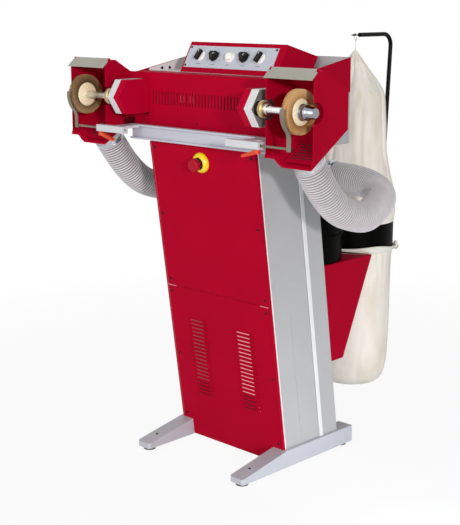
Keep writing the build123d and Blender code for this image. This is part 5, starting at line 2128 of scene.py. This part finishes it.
@dataclass
class HemStrap:
    """White strap drawn round the lower bag's hem, with its knot and two short tails."""

    axis_y: float = 0.330
    ring_r: float = 0.132
    z: float = 0.571
    flat: tuple[float, float] = (0.92, 0.018)
    half: float = 0.0095
    thick: float = 0.0042
    out: float = 0.0078
    tilt: float = 0.009
    tilt_turn: float = -0.9
    plain_share: float = 0.5
    bulge_share: float = 0.8
    bulge_turn: float = -0.29
    bulge_w: float = 0.45
    pinch_share: float = 0.1
    pinch_w: float = 0.12
    twist: float = 0.0008
    around: int = 180
    rolls: int = 14
    girth_out: float = 0.006
    roll_l: float = 0.05
    knot_turn: float = radians(44)
    knot_out: float = 0.011
    knot_up: float = 0.003
    lumps: tuple[tuple[float, Triple], ...] = (
        (-0.004, (0.010, 0.007, 0.008)),
        (0.004, (0.008, 0.010, 0.007)),
    )
    lump_drift: float = 0.16
    tails: tuple[tuple[float, float], ...] = ((-0.5, 0.019), (0.35, 0.014))
    tail_w: float = 0.013
    tail_out: float = 0.006
    tail_fall: float = 0.004

    def build(self) -> None:
        """Builds the strap and its knot."""
        plain = Piece("hem_strap", STRAP, stands_for=("bag_hem",), shade=Shade.ROUND, smooth_deg=180)
        strap = plain.make(self.band())
        knot = Piece("strap_knot", STRAP, shade=Shade.ROUND, smooth_deg=180).make(self.knot())

    def band(self) -> bmesh.types.BMesh:
        """Rolled strap that climbs a little round the hem and is fuller on one side.

        Returns:
            The strap's mesh.
        """
        bm = cloth_net(self.around, self.rolls, tau * (self.ring_r + self.girth_out), self.roll_l)
        for vert in bm.verts:
            angle, roll = vert.co.x * tau, vert.co.y * tau
            bulge = self.bulge_share * bell(turn_gap(angle, self.bulge_turn), self.bulge_w)
            pinch = self.pinch_share * bell(turn_gap(angle, self.knot_turn), self.pinch_w)
            fat = self.plain_share + bulge - pinch
            swell = self.thick * cos(roll) * (0.7 + 0.3 * fat)
            rise = self.half * sin(roll) * fat + self.tilt * cos(angle - self.tilt_turn)
            r = self.ring_r + self.out + swell + self.twist * sin(3 * roll + 9 * angle)
            vert.co = (r * cos(angle), self.axis_y + r * sin(angle), self.z + rise)
        return welded(bm, 1e-6)

    def knot(self) -> bmesh.types.BMesh:
        """Lumps of the knot and its two tails.

        Returns:
            The knot's mesh.
        """
        outwards = Vector((cos(self.knot_turn), sin(self.knot_turn), 0))
        middle = Vector((0, self.axis_y, self.z + self.knot_up))
        place = axes_at(middle + outwards * (self.ring_r + self.knot_out), outwards, Z_AXIS)
        parts = []
        for shift, size in self.lumps:
            lump = bmesh.new()
            bmesh.ops.create_icosphere(lump, subdivisions=3, radius=1.0)
            for vert in lump.verts:
                vert.co *= 1 + self.lump_drift * noise.noise(vert.co * 1.7 + X_AXIS * shift * 500)
            spot = place @ Matrix.Translation((shift, 0, 0)) @ Matrix.Diagonal((*size, 1.0))
            parts.append(moved(lump, spot))
        for lean, length in self.tails:
            tail = bmesh.new()
            bmesh.ops.create_grid(tail, x_segments=6, y_segments=10, size=0.5)
            for vert in tail.verts:
                across, share = vert.co.x, vert.co.y + 0.5
                down = share * length
                curl = 0.004 * sin(3 * share) + 0.002 * cos(9 * across)
                lift = self.tail_out - self.tail_fall * share + curl
                vert.co = (-down, across * self.tail_w + lean * down, lift)
            parts.append(moved(tail, place))
        return joined(parts)


@dataclass
class BagTie:
    """Thin cord from the upper bag's tip, looped round the rod's pin."""

    y: float = 0.318
    tip_z: float = 1.215
    pin_z: float = 1.265
    pin_r: float = 0.003
    thick: float = 0.0026
    length: float = 0.085

    def build(self) -> None:
        reach = self.pin_r + self.thick * 0.6
        y, z = self.y, self.pin_z
        route = [
            (0, y, self.tip_z - 0.002),
            (0, y, self.tip_z + 0.015),
            (reach * 0.6, y, z - reach * 2.2),
            (reach * 1.5, y, z),
            (0, y - 0.001, z + reach * 1.6),
            (-reach * 1.5, y - 0.002, z),
            (-reach * 0.5, y - 0.003, z - reach * 2.4),
            (0.002, y - 0.003, z - reach * 3.6),
        ]
        curve = smooth_curve("bag_tie", route, 16)
        curve.bevel_depth = self.thick / 2
        curve.bevel_resolution = 4
        curve.materials.append(STRAP.material())
        cord = bpy.data.objects.new("bag_tie", curve)
        bpy.context.scene.collection.objects.link(cord)
        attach(cord, "machine")


@dataclass
class DustCollector:
    """Fan, pipes, bracket, rod and bags behind the column."""

    axis_y: float = 0.330
    lean: float = 0.012
    ring_low: float = 0.568
    ring_top: float = 0.660
    seam: float = 0.0003
    rod_ease: float = 0.0006
    rod_y: float = 0.503
    rod_reach: float = 0.0085
    rod_sway: float = 0.055
    rod_upright: float = 1.16
    rod_bend: tuple[float, float] = (0.10, 0.03)
    upper_outline: Profile = (
        (0.1345, 0.70),
        (0.129, 0.762),
        (0.116, 0.83),
        (0.106, 0.899),
        (0.102, 0.985),
        (0.098, 1.068),
        (0.084, 1.105),
        (0.059, 1.139),
        (0.030, 1.178),
        (0.0055, 1.215),
    )
    upper_rim_r: float = 0.1335
    upper_stains: tuple[Stain, ...] = (
        Stain(-43, 0.61, 5, 0.06, 0.45),
        Stain(-57, 0.49, 6, 0.05, 0.3),
        Stain(-50, 0.35, 1.8, 0.045, 0.5),
        Stain(-108, 0.30, 14, 0.07, 0.55),
    )
    upper_flat: tuple[float, float] = (0.86, 0.64)
    upper_area: float = 0.40
    lower_outline: Profile = (
        (0.0, 0.099),
        (0.068, 0.1015),
        (0.100, 0.118),
        (0.116, 0.153),
        (0.122, 0.20),
        (0.126, 0.30),
        (0.1275, 0.42),
        (0.1285, 0.52),
    )
    lower_rim_r: float = 0.1305
    lower_slack: float = 0.45
    lower_stains: tuple[Stain, ...] = (Stain(-78, 0.20, 3, 0.04, 0.5), Stain(-72, 0.23, 2, 0.03, 0.35))
    lower_flat: tuple[float, float] = (0.86, 0.62)
    lower_area: float = 0.45

    def build(self) -> None:
        """Dresses the dust collector."""
        dress_nodes(
            (
                ("fan_housing", "fan_drum", BLACK, 0.001),
                ("bag_ring", "ring_drum", BLACK, 0.0008),
                ("support_bracket", "gusset_bracket", RED, 0.0008),
                ("inlet_manifold", "tee_pipe", PIPE_GREY, 0.001),
                ("hood_spigots", "hood_pipes", PIPE_GREY, 0.001),
            )
        )
        self.rod()
        self.upper_bag()
        self.lower_bag()
        HemStrap().build()
        BagTie().build()

    def rod(self) -> None:
        """Rod that leans forward a little towards its foot, on its two lugs."""
        rod = eased_copy("hanger_rod", self.rod_ease)
        start, end = (self.rod_y - back for back in self.rod_bend)
        for vert in rod.verts:
            near = hypot(vert.co.x, vert.co.y - self.rod_y) < self.rod_reach
            if near or vert.co.z > self.ring_top:
                sway = self.rod_sway * (self.rod_upright - vert.co.z)
                vert.co.y -= sway * between(start, end, vert.co.y)
        Piece("bag_rod", ROD_BLACK, stands_for=("hanger_rod",)).make(rod)

    def upper_bag(self) -> None:
        """Filter bag that hangs from its tied tip."""
        rim = (self.upper_rim_r, self.ring_top + self.seam)
        bag = ClothBag(
            "filter_bag",
            (rim, *self.upper_outline),
            ("upper_bag",),
            Gathers(11, 0.012, 0.62, 0.97),
            self.axis_y,
            self.lean,
            stains=self.upper_stains,
        )
        bag.build(self.upper_flat, self.upper_area, ["ring_drum", "bag_rod"])

    def lower_bag(self) -> None:
        """Collecting bag that hangs from the ring."""
        rim = (self.lower_rim_r, self.ring_low - self.seam)
        bag = ClothBag(
            "collecting_bag",
            (*self.lower_outline, rim),
            ("lower_bag",),
            Gathers(24, 0.004, 0.7, 0.98),
            self.axis_y,
            slack=self.lower_slack,
            stains=self.lower_stains,
        )
        bag.build(self.lower_flat, self.lower_area, ["ring_drum"])


def main() -> None:
    logging.basicConfig(level=logging.INFO, format="%(name)s: %(message)s")
    noise.seed_set(NOISE_SEED)
    Studio().build()
    stand = Stand()
    stand.build()
    EmergencyStop().build(stand)
    UpperBody().build()
    Console().build()
    for side, hair in ((Side.LEFT, DARK_HAIR), (Side.RIGHT, GOLDEN_HAIR)):
        BrushSpindle(side, hair).build()
        BrushHood(side).build()
        SlidingGuard(side).build()
        SuctionHose(side).build()
    HoodFloors().build()
    DustCollector().build()


if __name__ == "__main__":
    main()
